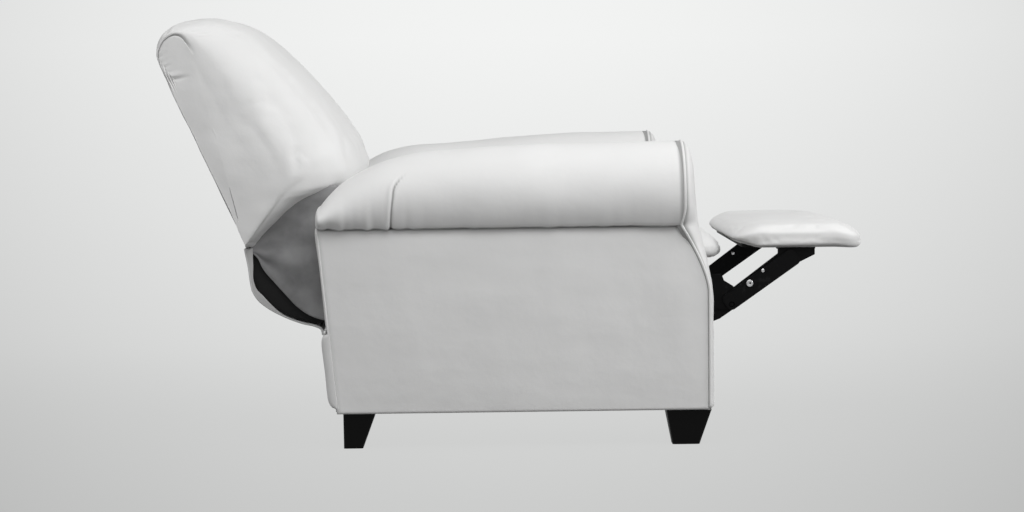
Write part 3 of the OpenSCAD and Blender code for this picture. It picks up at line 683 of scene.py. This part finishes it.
class LOVESEAT_OT_arms(bpy.types.Operator):
    """Side panels, padded fronts, rolls and welts of both arms"""

    bl_idname = "loveseat.arms"
    bl_label = "Arms"

    def execute(self, context):
        cover = white_leather(context)
        padding = context.scene.loveseat_padding
        for word, side in SIDES.items():
            for part, outer in (("outer", True), ("inner", False)):
                panel = arm_side_panel(side, outer, f"arm_{part}_cover_{word}", padding.panel)
                finish_piece(panel, "base", cover, f"arm_panel_{part}_{word}")
            finish_piece(arm_front_panel(side, f"arm_front_cover_{word}"), "base", cover,
                         f"arm_front_{word}", f"arm_scroll_{word}", fill=0.8)
            finish_piece(arm_roll_cover(side, f"arm_roll_cover_{word}"), "base", cover,
                         f"arm_roll_{word}", slot="white_padding", fill=0.9)
            welt = tube(f"arm_front_welt_{word}", front_edge_path(side), padding.welt)
            finish_piece(welt, "base", cover)
        return {"FINISHED"}


# Base


def rear_cover(name, across, up, depth, turn):
    """Padded panel on the rear of the base, over spans in Y and Z.

    Its depth behind the leaning rear line is that of a rounded box, and both ends turn in over the given
    width.
    """
    middle, half = sum(across) / 2, (across[1] - across[0]) / 2
    t = np.linspace(-1, 1, 40)
    y = half * crowded(120)
    yy, tt = np.meshgrid(y, t, indexing="ij")
    z = mix(up[0], up[1], (tt + 1) / 2)
    puff = (1 - np.abs(tt) ** 8) ** 0.5 * quarter(np.abs(yy), half, turn)
    x = rear_line(z) - depth * puff + 0.0012 * ripple(yy + middle, z, 0.14, 51) * puff
    front = np.stack([rear_line(z) + 0.001, yy + middle, z], -1)[:, ::-1]
    points = np.concatenate([np.stack([x, yy + middle, z], -1), front], axis=1)
    # Painted shade and dirt: the top and bottom edges darken where they turn in against the welts.
    seam = np.concatenate([np.clip((np.abs(tt) - 0.97) / 0.03, 0, 1) * 0.7, tt * 0], axis=1)
    return grid_mesh(name, points, wrap=True, seam=seam, cap=True)


class LOVESEAT_OT_base(bpy.types.Operator):
    """Rear panel of the base with its welts"""

    bl_idname = "loveseat.base"
    bl_label = "Base"

    def execute(self, context):
        cover = white_leather(context)
        welt = context.scene.loveseat_padding.welt
        lo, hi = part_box("rear_panel")
        panel = rear_cover("rear_panel_cover", (lo.y, -lo.y), (lo.z, hi.z), depth=0.0185, turn=0.016)
        finish_piece(panel, "base", cover, "rear_panel")
        z = np.linspace(LEG_H + 0.006, SEAM_Z - 0.006, 60)
        for word, side in SIDES.items():
            across = sorted((side * (ARM_IN + 0.003), side * (ARM_OUT - 0.003)))
            up = (hi.z - 0.002, SEAM_Z + 0.004)
            panel = rear_cover(f"arm_rear_cover_{word}", across, up, depth=0.006, turn=0.010)
            finish_piece(panel, "base", cover)
            path = np.stack([rear_line(z) - 0.001, z * 0 + side * (ARM_OUT - 0.0035), z], -1)
            finish_piece(tube(f"rear_side_welt_{word}", path, 0.8 * welt), "base", cover)
        y = np.linspace(-ARM_OUT + 0.006, ARM_OUT - 0.006, 80)
        path = np.stack([y * 0 + rear_line(hi.z) - 0.009, y, y * 0 + hi.z + 0.001], -1)
        finish_piece(tube("rear_top_welt", path, welt), "base", cover)
        return {"FINISHED"}


# Back


def on_back(u, y, v):
    """Points of the back's own frame, u up its rear line and v forward of it, set at its foot."""
    x = BACK_FOOT[0] - u * math.sin(BACK_LEAN) + v * math.cos(BACK_LEAN)
    z = BACK_FOOT[1] + u * math.cos(BACK_LEAN) + v * math.sin(BACK_LEAN)
    return np.stack([x, y + x * 0, z], -1)


# Outlines of the padded back in u and v, point for point: along its middle and round its side panel
BACK_MIDDLE = metres(
    (0, 4), (100, 6), (250, 6), (400, 6), (452, 9), (488, 22), (508, 45), (515, 75), (507, 112),
    (491, 150), (462, 186), (414, 222), (369, 243), (266, 281), (145, 308), (85, 317), (50, 314),
    (30, 298), (29, 262), (36, 205), (27, 145), (10, 85), (-2, 30), (0, 4))
BACK_SIDE = metres(
    (12, 8), (100, 11), (250, 11), (400, 11), (446, 13), (470, 21), (484, 37), (489, 50), (489, 66),
    (480, 78), (458, 84), (414, 86), (369, 88), (266, 93), (145, 112), (118, 114), (104, 110), (92, 108),
    (82, 100), (70, 86), (55, 66), (38, 40), (20, 16), (12, 8))
TOP_ROUND = 0.085
LOW_ROUND = 0.125
WIDE_ROUND = 0.34


def back_points(side_round):
    """Grid of the padded back: rows across it, columns round its outline.

    Each row is the middle outline drawn towards the side one by the height of a quarter circle: in u one,
    and in v the sum of a tight and a wide one. Past the side seam the rows shrink to the side panel's
    middle with a slight swell.
    """
    chords = np.concatenate([np.linspace(0, 0.39, 24)[:-1], np.linspace(0.39, 0.60, 90)[:-1],
                             np.linspace(0.60, 1.205, 110)])
    middle, edge = pair_through(BACK_MIDDLE, BACK_SIDE, chords / 1.205)
    flat = BACK_HALF - side_round
    turn = np.linspace(0, math.pi / 2, 30)
    half = np.concatenate([np.linspace(0, flat, 40)[:-1], flat + side_round * np.sin(turn)])
    tight, wide, top, low = (quarter(half, BACK_HALF, reach)[:, None]
                             for reach in (side_round, WIDE_ROUND, TOP_ROUND, LOW_ROUND))
    u = mix(edge[:, 0], middle[:, 0], np.where(edge[:, 0] > 0.25, top, low))
    v = mix(edge[:, 1], middle[:, 1], 0.56 * tight + 0.44 * wide)
    y = np.repeat(half[:, None], len(chords), axis=1)
    k = np.concatenate([np.linspace(1, 0.55, 52)[1:], np.linspace(0.55, 0, 16)[1:]])[:, None]
    u = np.concatenate([u, mix(0.26, u[-1], k)])
    v = np.concatenate([v, mix(0.055, v[-1], k)])
    y = np.concatenate([y, y[-1] + 0.0012 * (1 - k**2) ** 2 + 0 * u[:len(k)]])
    rows = len(half)
    u, v, y = (np.concatenate([m[:0:-1], m]) for m in (u, v, y))
    sign = np.concatenate([-np.ones(len(u) // 2), [0], np.ones(len(u) // 2)])
    distance = np.abs(np.arange(len(u)) - len(u) // 2) - (rows - 1)
    return u, v, y * sign[:, None], distance


def back_creases(u, v, y):
    """Pleats at the back's upper rear corners: six pinched lines that run forward from the rear edge."""
    total = np.zeros_like(u)
    for start, length, depth, lean in ((0.409, 0.068, 0.0060, -0.24), (0.424, 0.040, 0.0018, -0.10),
                                       (0.435, 0.044, 0.0020, 0.00), (0.445, 0.038, 0.0018, 0.12),
                                       (0.455, 0.042, 0.0024, 0.25), (0.465, 0.030, 0.0020, 0.40)):
        d = u - start - lean * v
        wide = 0.0022 + 0.30 * depth
        along = smooth((length - v) / length) * smooth((v + 0.001) / 0.006)
        total += depth * along * (0.55 * bell(d - 2.1 * wide, 1.7 * wide) - bell(d, wide))
    return total * (np.abs(y) > BACK_HALF - 0.0001)


def back_firmness(place):
    """The back's rear face is held fast, and its side panels nearly so."""
    x, y, z = place.T
    behind = (x - BACK_FOOT[0]) * math.cos(BACK_LEAN) + (z - BACK_FOOT[1]) * math.sin(BACK_LEAN)
    return np.where(behind < 0.012, 1.0, np.where(np.abs(y) > BACK_HALF - 0.002, 0.7, 0.0))


class LOVESEAT_OT_back(bpy.types.Operator):
    """Padded back, lower back, and outside back panel"""

    bl_idname = "loveseat.back"
    bl_label = "Back"

    def execute(self, context):
        u, v, y, distance = back_points(context.scene.loveseat_padding.side)
        wave = 0.0018 * ripple(y, u * 1.3, 0.20, 61) + 0.0007 * ripple(y + v, u, 0.07, 62)
        points = push(on_back(u, y, v), wave + back_creases(u, v, y), wrap=True, outward=-1)
        top = smooth((u - 0.43) / 0.04) * smooth((0.10 - v) / 0.02) * smooth(v / 0.01)
        groove = bell(distance[:, None], 0.8) * top
        lip = bell(distance[:, None] + 3, 1.6) * top
        points = push(points, 0.0018 * lip - 0.0042 * groove, wrap=True, outward=-1)
        # Painted shade and dirt: the side seam's groove is darkened in colour as well.
        filled_cover(context, "back_pillow_cover", points, groove * 0.9, back_firmness, "back",
                     "back_pillow", cap=0.004, fill=0.75)
        cover = white_leather(context)
        finish_piece(lower_back("lower_back_cover"), "back", cover, "back_lumbar", slot="white_padding",
                     fill=0.7)
        finish_piece(outside_back("outside_back_cover"), "back", cover, "outside_back")
        return {"FINISHED"}


LOWER_BACK = metres(
    (34, 130), (48, 200), (36, 262), (30, 300), (18, 330), (-20, 352), (-70, 364), (-118, 362),
    (-138, 330), (-130, 260), (-98, 165), (-50, 85), (0, 70))


def lower_back(name):
    """Lower back between the arms: one outline carried across, drawn in round both ends."""
    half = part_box("back_lumbar")[1].y - 0.010
    outline = line_through(LOWER_BACK + LOWER_BACK[:1], 90)[:-1]
    centre = outline.mean(axis=0)
    y = crowded(81)
    y = half * np.sign(y) * np.abs(y) ** 0.75
    share = np.where(np.abs(y) >= half - 1e-6, 0.0, 0.90 + 0.10 * quarter(np.abs(y), half, 0.035))
    u, v = (mix(centre[k], outline[:, k], share[:, None]) for k in (0, 1))
    yy = np.repeat(y[:, None], len(outline), axis=1)
    points = push(on_back(u, yy, v), 0.0018 * ripple(yy, u, 0.11, 71), wrap=True, outward=-1)
    return grid_mesh(name, points, wrap=True)


def outside_back(name):
    """Outside back: a sheet over the board, swelled by the roots of 1 - s to the 10 and 1 - t to the 10."""
    ss, tt = np.meshgrid(crowded(90), crowded(60), indexing="ij")
    u = mix(0.001, 0.430, (tt + 1) / 2)
    y = (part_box("outside_back")[1].y + 0.004) * ss
    puff = (1 - np.abs(ss) ** 10) ** 0.5 * (1 - np.abs(tt) ** 10) ** 0.5
    v = 0.0085 - 0.0065 * puff + 0.0010 * ripple(y, u, 0.15, 81) * puff
    # Painted shade and dirt: the panel darkens towards its edges, where it falls in.
    seam = np.clip(1 - puff * 1.6, 0, 1) * 0.8
    points = np.concatenate([on_back(u, y, v), on_back(u, y, v * 0 + 0.009)[:, ::-1]], axis=1)
    return grid_mesh(name, points, wrap=True, seam=np.concatenate([seam, seam * 0], axis=1), cap=True)


# Flap and lining between the back's foot and the base

FLAP_LINE = metres(
    (-208, 419), (-200, 379), (-196, 346), (-192, 327), (-181, 308), (-156, 287), (-131, 273),
    (-109, 263), (-79, 252.5), (-56, 247), (-42.5, 240), (-39.5, 228))
FLAP_RETURN = through([0, 0.13, 0.25, 0.33, 0.41, 0.52, 0.62, 0.80, 1.0],
                      [0.017, 0.010, 0.006, 0.009, 0.013, 0.009, 0.003, 0.002, 0.003])
LINING_TOP = metres((-194, 421), (-158, 468), (-112, 514), (-74, 544), (-35, 557), (10, 556), (60, 545))
LINING_LOW = metres(
    (-190, 410), (-180, 400), (-168, 376), (-143, 345), (-118, 317), (-94, 291), (-69, 273),
    (-46, 263.5), (40, 262))
LINING_Y = 0.3785
SHADE_SHEET_Y = 0.3705


def flap_points():
    """Grid of the flap: rows along its line, columns across it, the end ones turned in as side returns."""
    line = line_through(FLAP_LINE, 60)
    along = np.gradient(line, axis=0)
    along /= np.linalg.norm(along, axis=1, keepdims=True)
    inward = np.stack([-along[:, 1], along[:, 0]], -1)
    inward *= np.sign(inward[20, 0])
    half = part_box("back_flap")[1].y - 0.002
    share = np.linspace(0, 1, 60)
    turn = np.linspace(0, math.pi / 2, 7)
    radius = 0.003
    y = np.concatenate([np.linspace(0, half - radius, 40)[:-1], half - radius + radius * np.sin(turn),
                        np.full(5, half)])
    depth = np.concatenate([np.zeros(39), radius * (1 - np.cos(turn)), np.full(5, radius)])
    reach = np.concatenate([np.zeros(46), np.linspace(0, 1, 6)[1:]])
    inner = depth + (FLAP_RETURN(share) - 0.001)[:, None] * reach
    y = np.concatenate([-y[:0:-1], y])
    inner = np.concatenate([inner[:, :0:-1], inner], axis=1)
    y, share = y + 0 * inner, share[:, None] + 0 * inner
    sag = 0.0025 * ripple(y, share * 0.3, 0.16, 91)
    sag = sag * smooth((half - np.abs(y)) / 0.06) * np.sin(math.pi * share)
    x = line[:, :1] + inward[:, :1] * (inner + sag)
    z = line[:, 1:] + inward[:, 1:] * (inner + sag * 0.5)
    return np.stack([x, y, z], -1)


def shade_sheet_points(side):
    """Black sheet between the flap's inner face and the lining's lower edge, ruled from one to the other:
    painted shade standing in for the unlit gap behind the flap.
    """
    line = line_through(FLAP_LINE[:-2], 50) + 0.004
    low = line_through(LINING_LOW, 50) + np.array([0.004, 0.016])
    shade_sheet = mix(line[:, None], low[:, None], np.linspace(0, 1, 8)[None, :, None])
    return np.stack([shade_sheet[..., 0], side * (SHADE_SHEET_Y + 0 * shade_sheet[..., 0]), shade_sheet[..., 1]], -1)


def lining_points(side):
    """Side lining below the back: a fan between two lines that start at the back's foot.

    Its folds run out from the foot, each a sine of the share between the lines, and grow with distance.
    """
    top = line_through(LINING_TOP, 60)
    low = line_through(LINING_LOW, 60)
    t = np.linspace(0, 1, 56)
    x = mix(top[:, :1], low[:, :1], t)
    z = mix(top[:, 1:], low[:, 1:], t)
    s = np.linspace(0, 1, 60)[:, None]
    reach = np.sqrt((x - x[:1, :1]) ** 2 + (z - z[:1, :1]) ** 2)
    folds = 0.6 * np.sin(2 * math.pi * (1.9 * t + 0.25 * s + 0.05)) + 0.4 * np.sin(
        2 * math.pi * (3.3 * t - 0.4 * s + 0.3))
    depth = 0.0040 * folds * smooth(reach / 0.05) * (1 - 0.55 * smooth((s - 0.5) / 0.4))
    y = side * (LINING_Y + depth + 0.0012 * ripple(x, z, 0.05, 95 + side) - 0.004 * smooth(0.12 - t))
    return np.stack([x, y, z], -1)


def sheet(name, points, thickness, body, material, *nodes, slot, seam=None):
    """Cloth over a grid, with its thickness to both sides; without a body it is attached to none and keeps
    its place.
    """
    piece = grid_mesh(name, points, seam=seam)
    solid = piece.modifiers.new("Thickness", "SOLIDIFY")
    solid.thickness = thickness
    solid.offset = 0
    bpy.context.view_layer.objects.active = piece
    with bpy.context.temp_override(object=piece, active_object=piece, selected_objects=[piece]):
        bpy.ops.object.modifier_apply(modifier=solid.name)
    piece.data.polygons.foreach_set("use_smooth", [True] * len(piece.data.polygons))
    finish_piece(piece, body, material, *nodes, slot=slot)
    if not body:
        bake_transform(piece)
    return piece


class LOVESEAT_OT_flap(bpy.types.Operator):
    """Loose leather flap, the side linings whose dark colour is partly painted shade, and black sheets of
    painted shade between the back and the base
    """

    bl_idname = "loveseat.flap"
    bl_label = "Flap and lining"

    def execute(self, context):
        points = flap_points()
        # Painted shade and dirt: the flap's turned-in side returns are darkened.
        dirt_and_shade = np.zeros(points.shape[:2])
        dirt_and_shade[:, :6] = dirt_and_shade[:, -6:] = 0.42
        flap = sheet("back_flap_cover", points, 0.0022, None, white_leather(context), "back_flap",
                     slot="white_leather", seam=dirt_and_shade)
        for word, side in SIDES.items():
            # Painted shade: a black sheet fills the unlit gap behind the flap.
            points = shade_sheet_points(side)
            shade_sheet = sheet(f"back_shade_sheet_{word}", points, 0.0016, None, black_cloth(), slot="black_cloth")
            points = lining_points(side)
            lining = sheet(f"back_lining_{word}", points, 0.0016, None, lining_with_painted_shade(context),
                           slot="grey_lining")
        return {"FINISHED"}


# Cushions


def cushion_points(lo, hi, bow, wall_share, crown_power):
    """Closed cushion in a box: rings round a soft square, from the bottom's middle over the wall to the top.

    The square's sides are (1 - |t| to the n) to the 1/n. The wall stands for wall_share of the height and
    draws in below; above it the rings shrink by a cosine's power while the height rises by the sine.
    """
    n = 8.5
    angle = np.linspace(0, 2 * math.pi, 260, endpoint=False)
    c, s = np.cos(angle), np.sin(angle)
    plan = np.stack([c, s]) * (np.abs(c) ** n + np.abs(s) ** n) ** (-1 / n)
    swell = np.clip(plan[0], 0, None) * (1 - plan[1] ** 2) * bow
    wall = np.linspace(0, math.pi / 2, 14)
    top = np.linspace(0, math.pi / 2, 44)[1:]
    size = np.concatenate([np.linspace(0, 0.93, 24)[:-1], 0.93 + 0.07 * np.sin(wall) ** 0.7,
                           np.cos(top) ** crown_power])[:, None]
    up = np.concatenate([np.zeros(23), wall_share * (1 - np.cos(wall)),
                         wall_share + (1 - wall_share) * np.sin(top)])[:, None]
    x = (lo[0] + hi[0] - bow) / 2 + (plan[0] * (hi[0] - bow - lo[0]) / 2 + swell) * size
    y = (lo[1] + hi[1]) / 2 + plan[1] * (hi[1] - lo[1]) / 2 * size
    return np.stack([x, y, lo[2] + (hi[2] - lo[2]) * up + 0 * x], -1), size, up


def local_box(node):
    """A node's box, measured from the base's rear corner."""
    return [np.array(corner) - np.array([REAR, 0, 0]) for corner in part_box(node)]


class LOVESEAT_OT_seat(bpy.types.Operator):
    """Seat cushion with its boxed edge, and the dark deck under it"""

    bl_idname = "loveseat.seat"
    bl_label = "Seat"

    def execute(self, context):
        lo, hi = local_box("seat_cushion")
        lo[2] += 0.001
        hi[0] -= 0.003
        hi[2] -= 0.006
        points, size, up = cushion_points(lo, hi, bow=0.006, wall_share=0.20, crown_power=0.60)
        x, y, z = np.moveaxis(points, -1, 0)
        front = smooth((x - hi[0] + 0.09) / 0.05)
        low = smooth((0.55 - up) / 0.4)
        pucker = ripple(y, z * 0.2, 0.026, 101) * 0.0036 * front * low
        wave = 0.0022 * ripple(x, y, 0.17, 102)
        # Painted shade and dirt: the cushion darkens at its bottom seam, and its nose darkens most in the
        # valleys between the puckers, where the raised pad shades it.
        seam = bell(up - 0.02, 0.02) * (size > 0.9) * 0.6 + 0 * wave
        seam = np.maximum(seam, front * low * (0.20 + 0.22 * smooth(0.5 - pucker / 0.0036)))
        points = push(points, pucker + wave * (up > 0.3), wrap=True)

        def firmness(place):
            """The bottom is held fast, and all but the rear nearly so, to keep the nose clear of the pad."""
            ahead = place[:, 0] > hi[0] + REAR - 0.04
            return np.where(place[:, 2] < lo[2] + 0.004, 1.0, np.where(ahead, 0.9, 0.0))

        filled_cover(context, "seat_cushion_cover", points, seam, firmness, "seat", "seat_cushion",
                     cap=0.005, fill=0.7)
        x, y = np.meshgrid(np.linspace(0.052, 0.345, 40), np.linspace(-0.366, 0.366, 70), indexing="ij")
        rail = smooth((np.abs(y) - 0.27) / 0.05)
        points = np.stack([x, y, 0.3838 + 0.0012 * rail + 0.0003 * ripple(x, y, 0.09, 105)], -1)
        deck = sheet("seat_deck_cloth", points, 0.0012, "seat", lining_with_painted_shade(context), slot="grey_lining")
        return {"FINISHED"}


class LOVESEAT_OT_footrest(bpy.types.Operator):
    """Footrest pad"""

    bl_idname = "loveseat.footrest"
    bl_label = "Footrest"

    def execute(self, context):
        lo, hi = local_box("footrest_pad")
        hi[2] += 0.003
        points, size, up = cushion_points(lo, hi, bow=0.030, wall_share=0.34, crown_power=0.90)
        x, y, z = np.moveaxis(points, -1, 0)
        rear = smooth((lo[0] + 0.06 - x) / 0.06)
        front = smooth((x - hi[0] + 0.10) / 0.10)
        under = 1 - smooth(up / 0.34)
        roll = smooth((np.abs(y) - 0.20) / 0.10) * (1 - rear) * (1 - 0.8 * front)
        z += (hi[2] - lo[2]) * 0.29 * np.sin(math.pi * up) * roll
        x -= 0.003 * rear
        z += rear * (0.012 * under + 0.003) - 0.006 * front * (1 - up)
        wave = 0.0012 * ripple(x, y, 0.11, 111)
        # Painted shade and dirt: the pad darkens at its lower seam.
        seam = bell(up - 0.03, 0.03) * (size > 0.9) * 0.7 + 0 * wave
        points = push(points, wave * (up > 0.2), wrap=True)

        def firmness(place):
            """The bottom is held fast."""
            return np.where(place[:, 2] < lo[2] + 0.006, 1.0, 0.0)

        filled_cover(context, "footrest_pad_cover", points, seam, firmness, "footrest", "footrest_pad",
                     cap=0.003, fill=0.8)
        return {"FINISHED"}


# Frame, links and legs

# Rivets of the footrest's links: body, x, z, the face's distance from the middle, which way it looks (1 is
# outwards), radius and dish
RIVETS = {"tilt_bolt": ("tilt", 0.9087, 0.3265, 0.3235, 1, 0.0078, 0.9),
          "tilt_rivet": ("tilt", 0.9385, 0.3543, 0.3210, 1, 0.0042, 0.0),
          "lift_rivet": ("lift", 0.9373, 0.3516, 0.3070, -1, 0.0042, 0.0)}


def rivet_points(side, x, z, face, out, radius, dish):
    """Head of a rivet: a half ellipse turned round its axis, pressed in at its middle by dish."""
    share = np.sin(np.linspace(math.pi / 2, 0, 14))[:, None]
    angle = np.linspace(0, 2 * math.pi, 36, endpoint=False)
    high = 0.0016 * np.sqrt(1 - share**2) * (1 - dish * np.exp(-((share / 0.55) ** 4)))
    px = x + radius * share * np.cos(angle)
    pz = z + radius * share * np.sin(angle) * side * out
    return np.stack([px, side * (face + out * (high - 0.0004)) + 0 * px, pz], -1)


class LOVESEAT_OT_metalwork(bpy.types.Operator):
    """Enamel, steel and timber on the pieces that keep their own solids"""

    bl_idname = "loveseat.metalwork"
    bl_label = "Metalwork and frame"

    def execute(self, context):
        finishes = {"black_steel": ("black_enamel", enamel, (0.0028, 0.0028, 0.0030), 0.5),
                    "steel": ("bright_steel", bare_steel, (0.62, 0.62, 0.63), 0.3),
                    "spring_steel": ("spring_wire", bare_steel, (0.20, 0.20, 0.21), 0.45),
                    "frame_wood": ("frame_timber", timber, (0.55, 0.38, 0.22), 0.65),
                    "black_wood": ("black_stain", timber, (0.0030, 0.0029, 0.0029), 0.5, 0.3)}
        finishes = {slot: material_named(*values) for slot, values in finishes.items()}
        finishes["black_cloth"] = black_cloth()
        for kind, (body, *shape) in RIVETS.items():
            for word, side in SIDES.items():
                head = grid_mesh(f"{kind}_{word}", rivet_points(side, *shape), wrap=True, cap=True)
                finish_piece(head, body, finishes["steel"], slot="steel")
        slots = {s["node"]: s["material_slot"] for s in frame["record"]["subparts"]}
        slots["footrest_board"] = "black_wood"
        for name, piece in frame["nodes"].items():
            finish = finishes.get(slots.get(name))
            if finish and not piece.hide_render:
                piece.data.materials.clear()
                piece.data.materials.append(finish)
        return {"FINISHED"}


# Stage

CAMERA_AWAY = 6.33
CAMERA_Z = 0.801


def glowing(name, settings):
    """Floor and backdrop: a plain cloth to the light, and to the eye a pale glow, faintly shadowed.

    The glow is painted light: it rises from the near edge to the top of the backdrop, and falls by the
    square of the distance to either side of the middle, as a share of the distance from the front, as a
    lamp's pool on paper would.
    From behind, the paper is clear, so the piece can be seen from every side.
    """
    s = Shader(name)
    x, y, z = s.node("ShaderNodeSeparateXYZ", s.place).outputs
    # Painted light: the glow brightens up the backdrop and fades to either side of the middle.
    height = s.maths("ADD", s.maths("MULTIPLY", y, 0.16), s.maths("MULTIPLY", z, 0.5))
    low = s.ramp(height, -0.24, 0.24, 0.0, 0.44)
    high = s.ramp(height, 0.24, 1.0, 0.0, 0.56)
    colour = s.blend(s.maths("ADD", low, high), tuple(settings.dim), tuple(settings.pale))
    away = s.maths("MAXIMUM", s.maths("ADD", y, CAMERA_AWAY), 3.0)
    aside = s.maths("SUBTRACT", s.maths("DIVIDE", s.maths("ADD", x, 0.15), away), 0.023)
    fall = s.maths("MULTIPLY", s.maths("MULTIPLY", aside, aside), 4.3)
    shade = s.maths("SUBTRACT", 1.0, s.maths("MINIMUM", fall, 0.4))
    glow = s.node("ShaderNodeEmission", colour, shade).outputs[0]
    faint = s.node("ShaderNodeBsdfDiffuse", (0.022, 0.022, 0.022, 1)).outputs[0]
    seen = s.node("ShaderNodeAddShader", glow, faint).outputs[0]
    path = s.node("ShaderNodeLightPath").outputs
    mirrored = s.maths("MAXIMUM", path["Is Glossy Ray"], path["Is Transmission Ray"])
    paper = s.mixed(s.maths("MAXIMUM", path["Is Camera Ray"], mirrored), s.surface.outputs[0], seen)
    clear = s.node("ShaderNodeBsdfTransparent").outputs[0]
    paper = s.mixed(s.node("ShaderNodeNewGeometry").outputs["Backfacing"], paper, clear)
    feed(s.tree, paper, s.tree.nodes["Material Output"].inputs["Surface"])
    return s.finish(Base_Color=(0.16, 0.16, 0.16, 1), Roughness=0.9)


def soft_lamp(context, name, size, power, place, turn):
    """Rectangular lamp of a size in metres, at a place and turned by angles in degrees."""
    lamp = bpy.data.lights.new(name, "AREA")
    lamp.shape = "RECTANGLE"
    lamp.size, lamp.size_y = size
    lamp.energy = power
    holder = bpy.data.objects.new(name, lamp)
    holder.location = place
    holder.rotation_euler = [math.radians(a) for a in turn]
    context.scene.collection.objects.link(holder)


def sweep(name):
    """Floor that curves up into a backdrop: level to the bend, a quarter circle, then upright."""
    bend, radius, height, half = 1.6, 2.2, 4.5, 9.0
    turn = np.linspace(0, math.pi / 2, 24)
    y = np.concatenate([[-9.0, -4.0, 0.0], bend + radius * np.sin(turn), [bend + radius]])
    z = np.concatenate([[0, 0, 0], radius * (1 - np.cos(turn)), [radius + height]])
    x = np.linspace(-half, half, 20)
    points = np.stack([x[:, None] + 0 * y, y + 0 * x[:, None], z + 0 * x[:, None]], -1)
    piece = grid_mesh(name, points)
    if piece.data.polygons[0].normal.z < 0:
        piece.data.flip_normals()
    return piece


class LOVESEAT_OT_stage(bpy.types.Operator):
    """Floor, backdrop, lamps, world and camera"""

    bl_idname = "loveseat.stage"
    bl_label = "Stage"

    def execute(self, context):
        settings = context.scene.loveseat_stage
        floor = sweep("floor_sweep")
        floor.data.materials.append(glowing("floor_paper", settings))
        scene = context.scene
        scene.view_settings.view_transform = "Standard"
        world = bpy.data.worlds.new("Soft studio")
        scene.world = world
        world.use_nodes = True
        tree = world.node_tree
        place = add_node(tree, "ShaderNodeTexCoord").outputs["Generated"]
        upward = add_node(tree, "ShaderNodeSeparateXYZ", place).outputs[2]
        share = add_node(tree, "ShaderNodeMapRange", upward, From_Min=-1).outputs["Result"]
        ramp = add_node(tree, "ShaderNodeValToRGB", share)
        feed(tree, ramp.outputs["Color"], tree.nodes["Background"].inputs["Color"])
        levels = ((0.0, 0.22), (0.5, 0.46), (0.72, 0.62), (1.0, 0.84))
        while len(ramp.color_ramp.elements) < len(levels):
            ramp.color_ramp.elements.new(0.5)
        for element, (position, level) in zip(ramp.color_ramp.elements, levels):
            element.position = position
            element.color = (level, level, level, 1)
        soft_lamp(context, "Overhead", (2.6, 1.0), settings.key, (0.45, -1.95, 2.3), (38, 0, 0))
        soft_lamp(context, "Front", (1.4, 1.0), settings.rim, (3.3, -1.1, 1.35), (0, 80, -18))
        camera = bpy.data.cameras.new("Camera")
        camera.lens = settings.lens
        camera.sensor_width = 36
        seat = bpy.data.objects.new("Camera", camera)
        scene.collection.objects.link(seat)
        seat.location = (0.243 + REAR, -CAMERA_AWAY, CAMERA_Z)
        yaw, pitch, roll = math.radians(-1.31), math.radians(90 - 3.88), math.radians(-0.6)
        turn = Matrix.Rotation(yaw, 4, "Z") @ Matrix.Rotation(pitch, 4, "X") @ Matrix.Rotation(roll, 4, "Z")
        seat.rotation_mode = "QUATERNION"
        seat.rotation_quaternion = turn.to_quaternion()
        scene.camera = seat
        return {"FINISHED"}


class LOVESEAT_PT_panel(bpy.types.Panel):
    """Lists the loveseat's pieces and settings"""

    bl_label = "Loveseat"
    bl_idname = "LOVESEAT_PT_panel"
    bl_space_type = "VIEW_3D"
    bl_region_type = "UI"
    bl_category = "Loveseat"

    def draw(self, context):
        for group in settings_of(context):
            for key in group.__annotations__:
                self.layout.prop(group, key)
        for operator in OPERATORS:
            self.layout.operator(operator.bl_idname)


OPERATORS = (LOVESEAT_OT_stage, LOVESEAT_OT_arms, LOVESEAT_OT_base, LOVESEAT_OT_back, LOVESEAT_OT_flap,
             LOVESEAT_OT_seat, LOVESEAT_OT_footrest, LOVESEAT_OT_metalwork)
GROUPS = {"loveseat_leather": LeatherSettings, "loveseat_padding": PaddingSettings,
          "loveseat_stage": StageSettings}


def register():
    for kind in (*GROUPS.values(), *OPERATORS, LOVESEAT_PT_panel):
        bpy.utils.register_class(kind)
    for name, kind in GROUPS.items():
        setattr(bpy.types.Scene, name, bpy.props.PointerProperty(type=kind))


def unregister():
    for name in GROUPS:
        delattr(bpy.types.Scene, name)
    for kind in (LOVESEAT_PT_panel, *reversed(OPERATORS), *GROUPS.values()):
        bpy.utils.unregister_class(kind)


def main():
    """Builds every piece in order."""
    register()
    for operator in OPERATORS:
        getattr(bpy.ops.loveseat, operator.bl_idname.split(".")[1])()


if __name__ == "__main__":
    main()
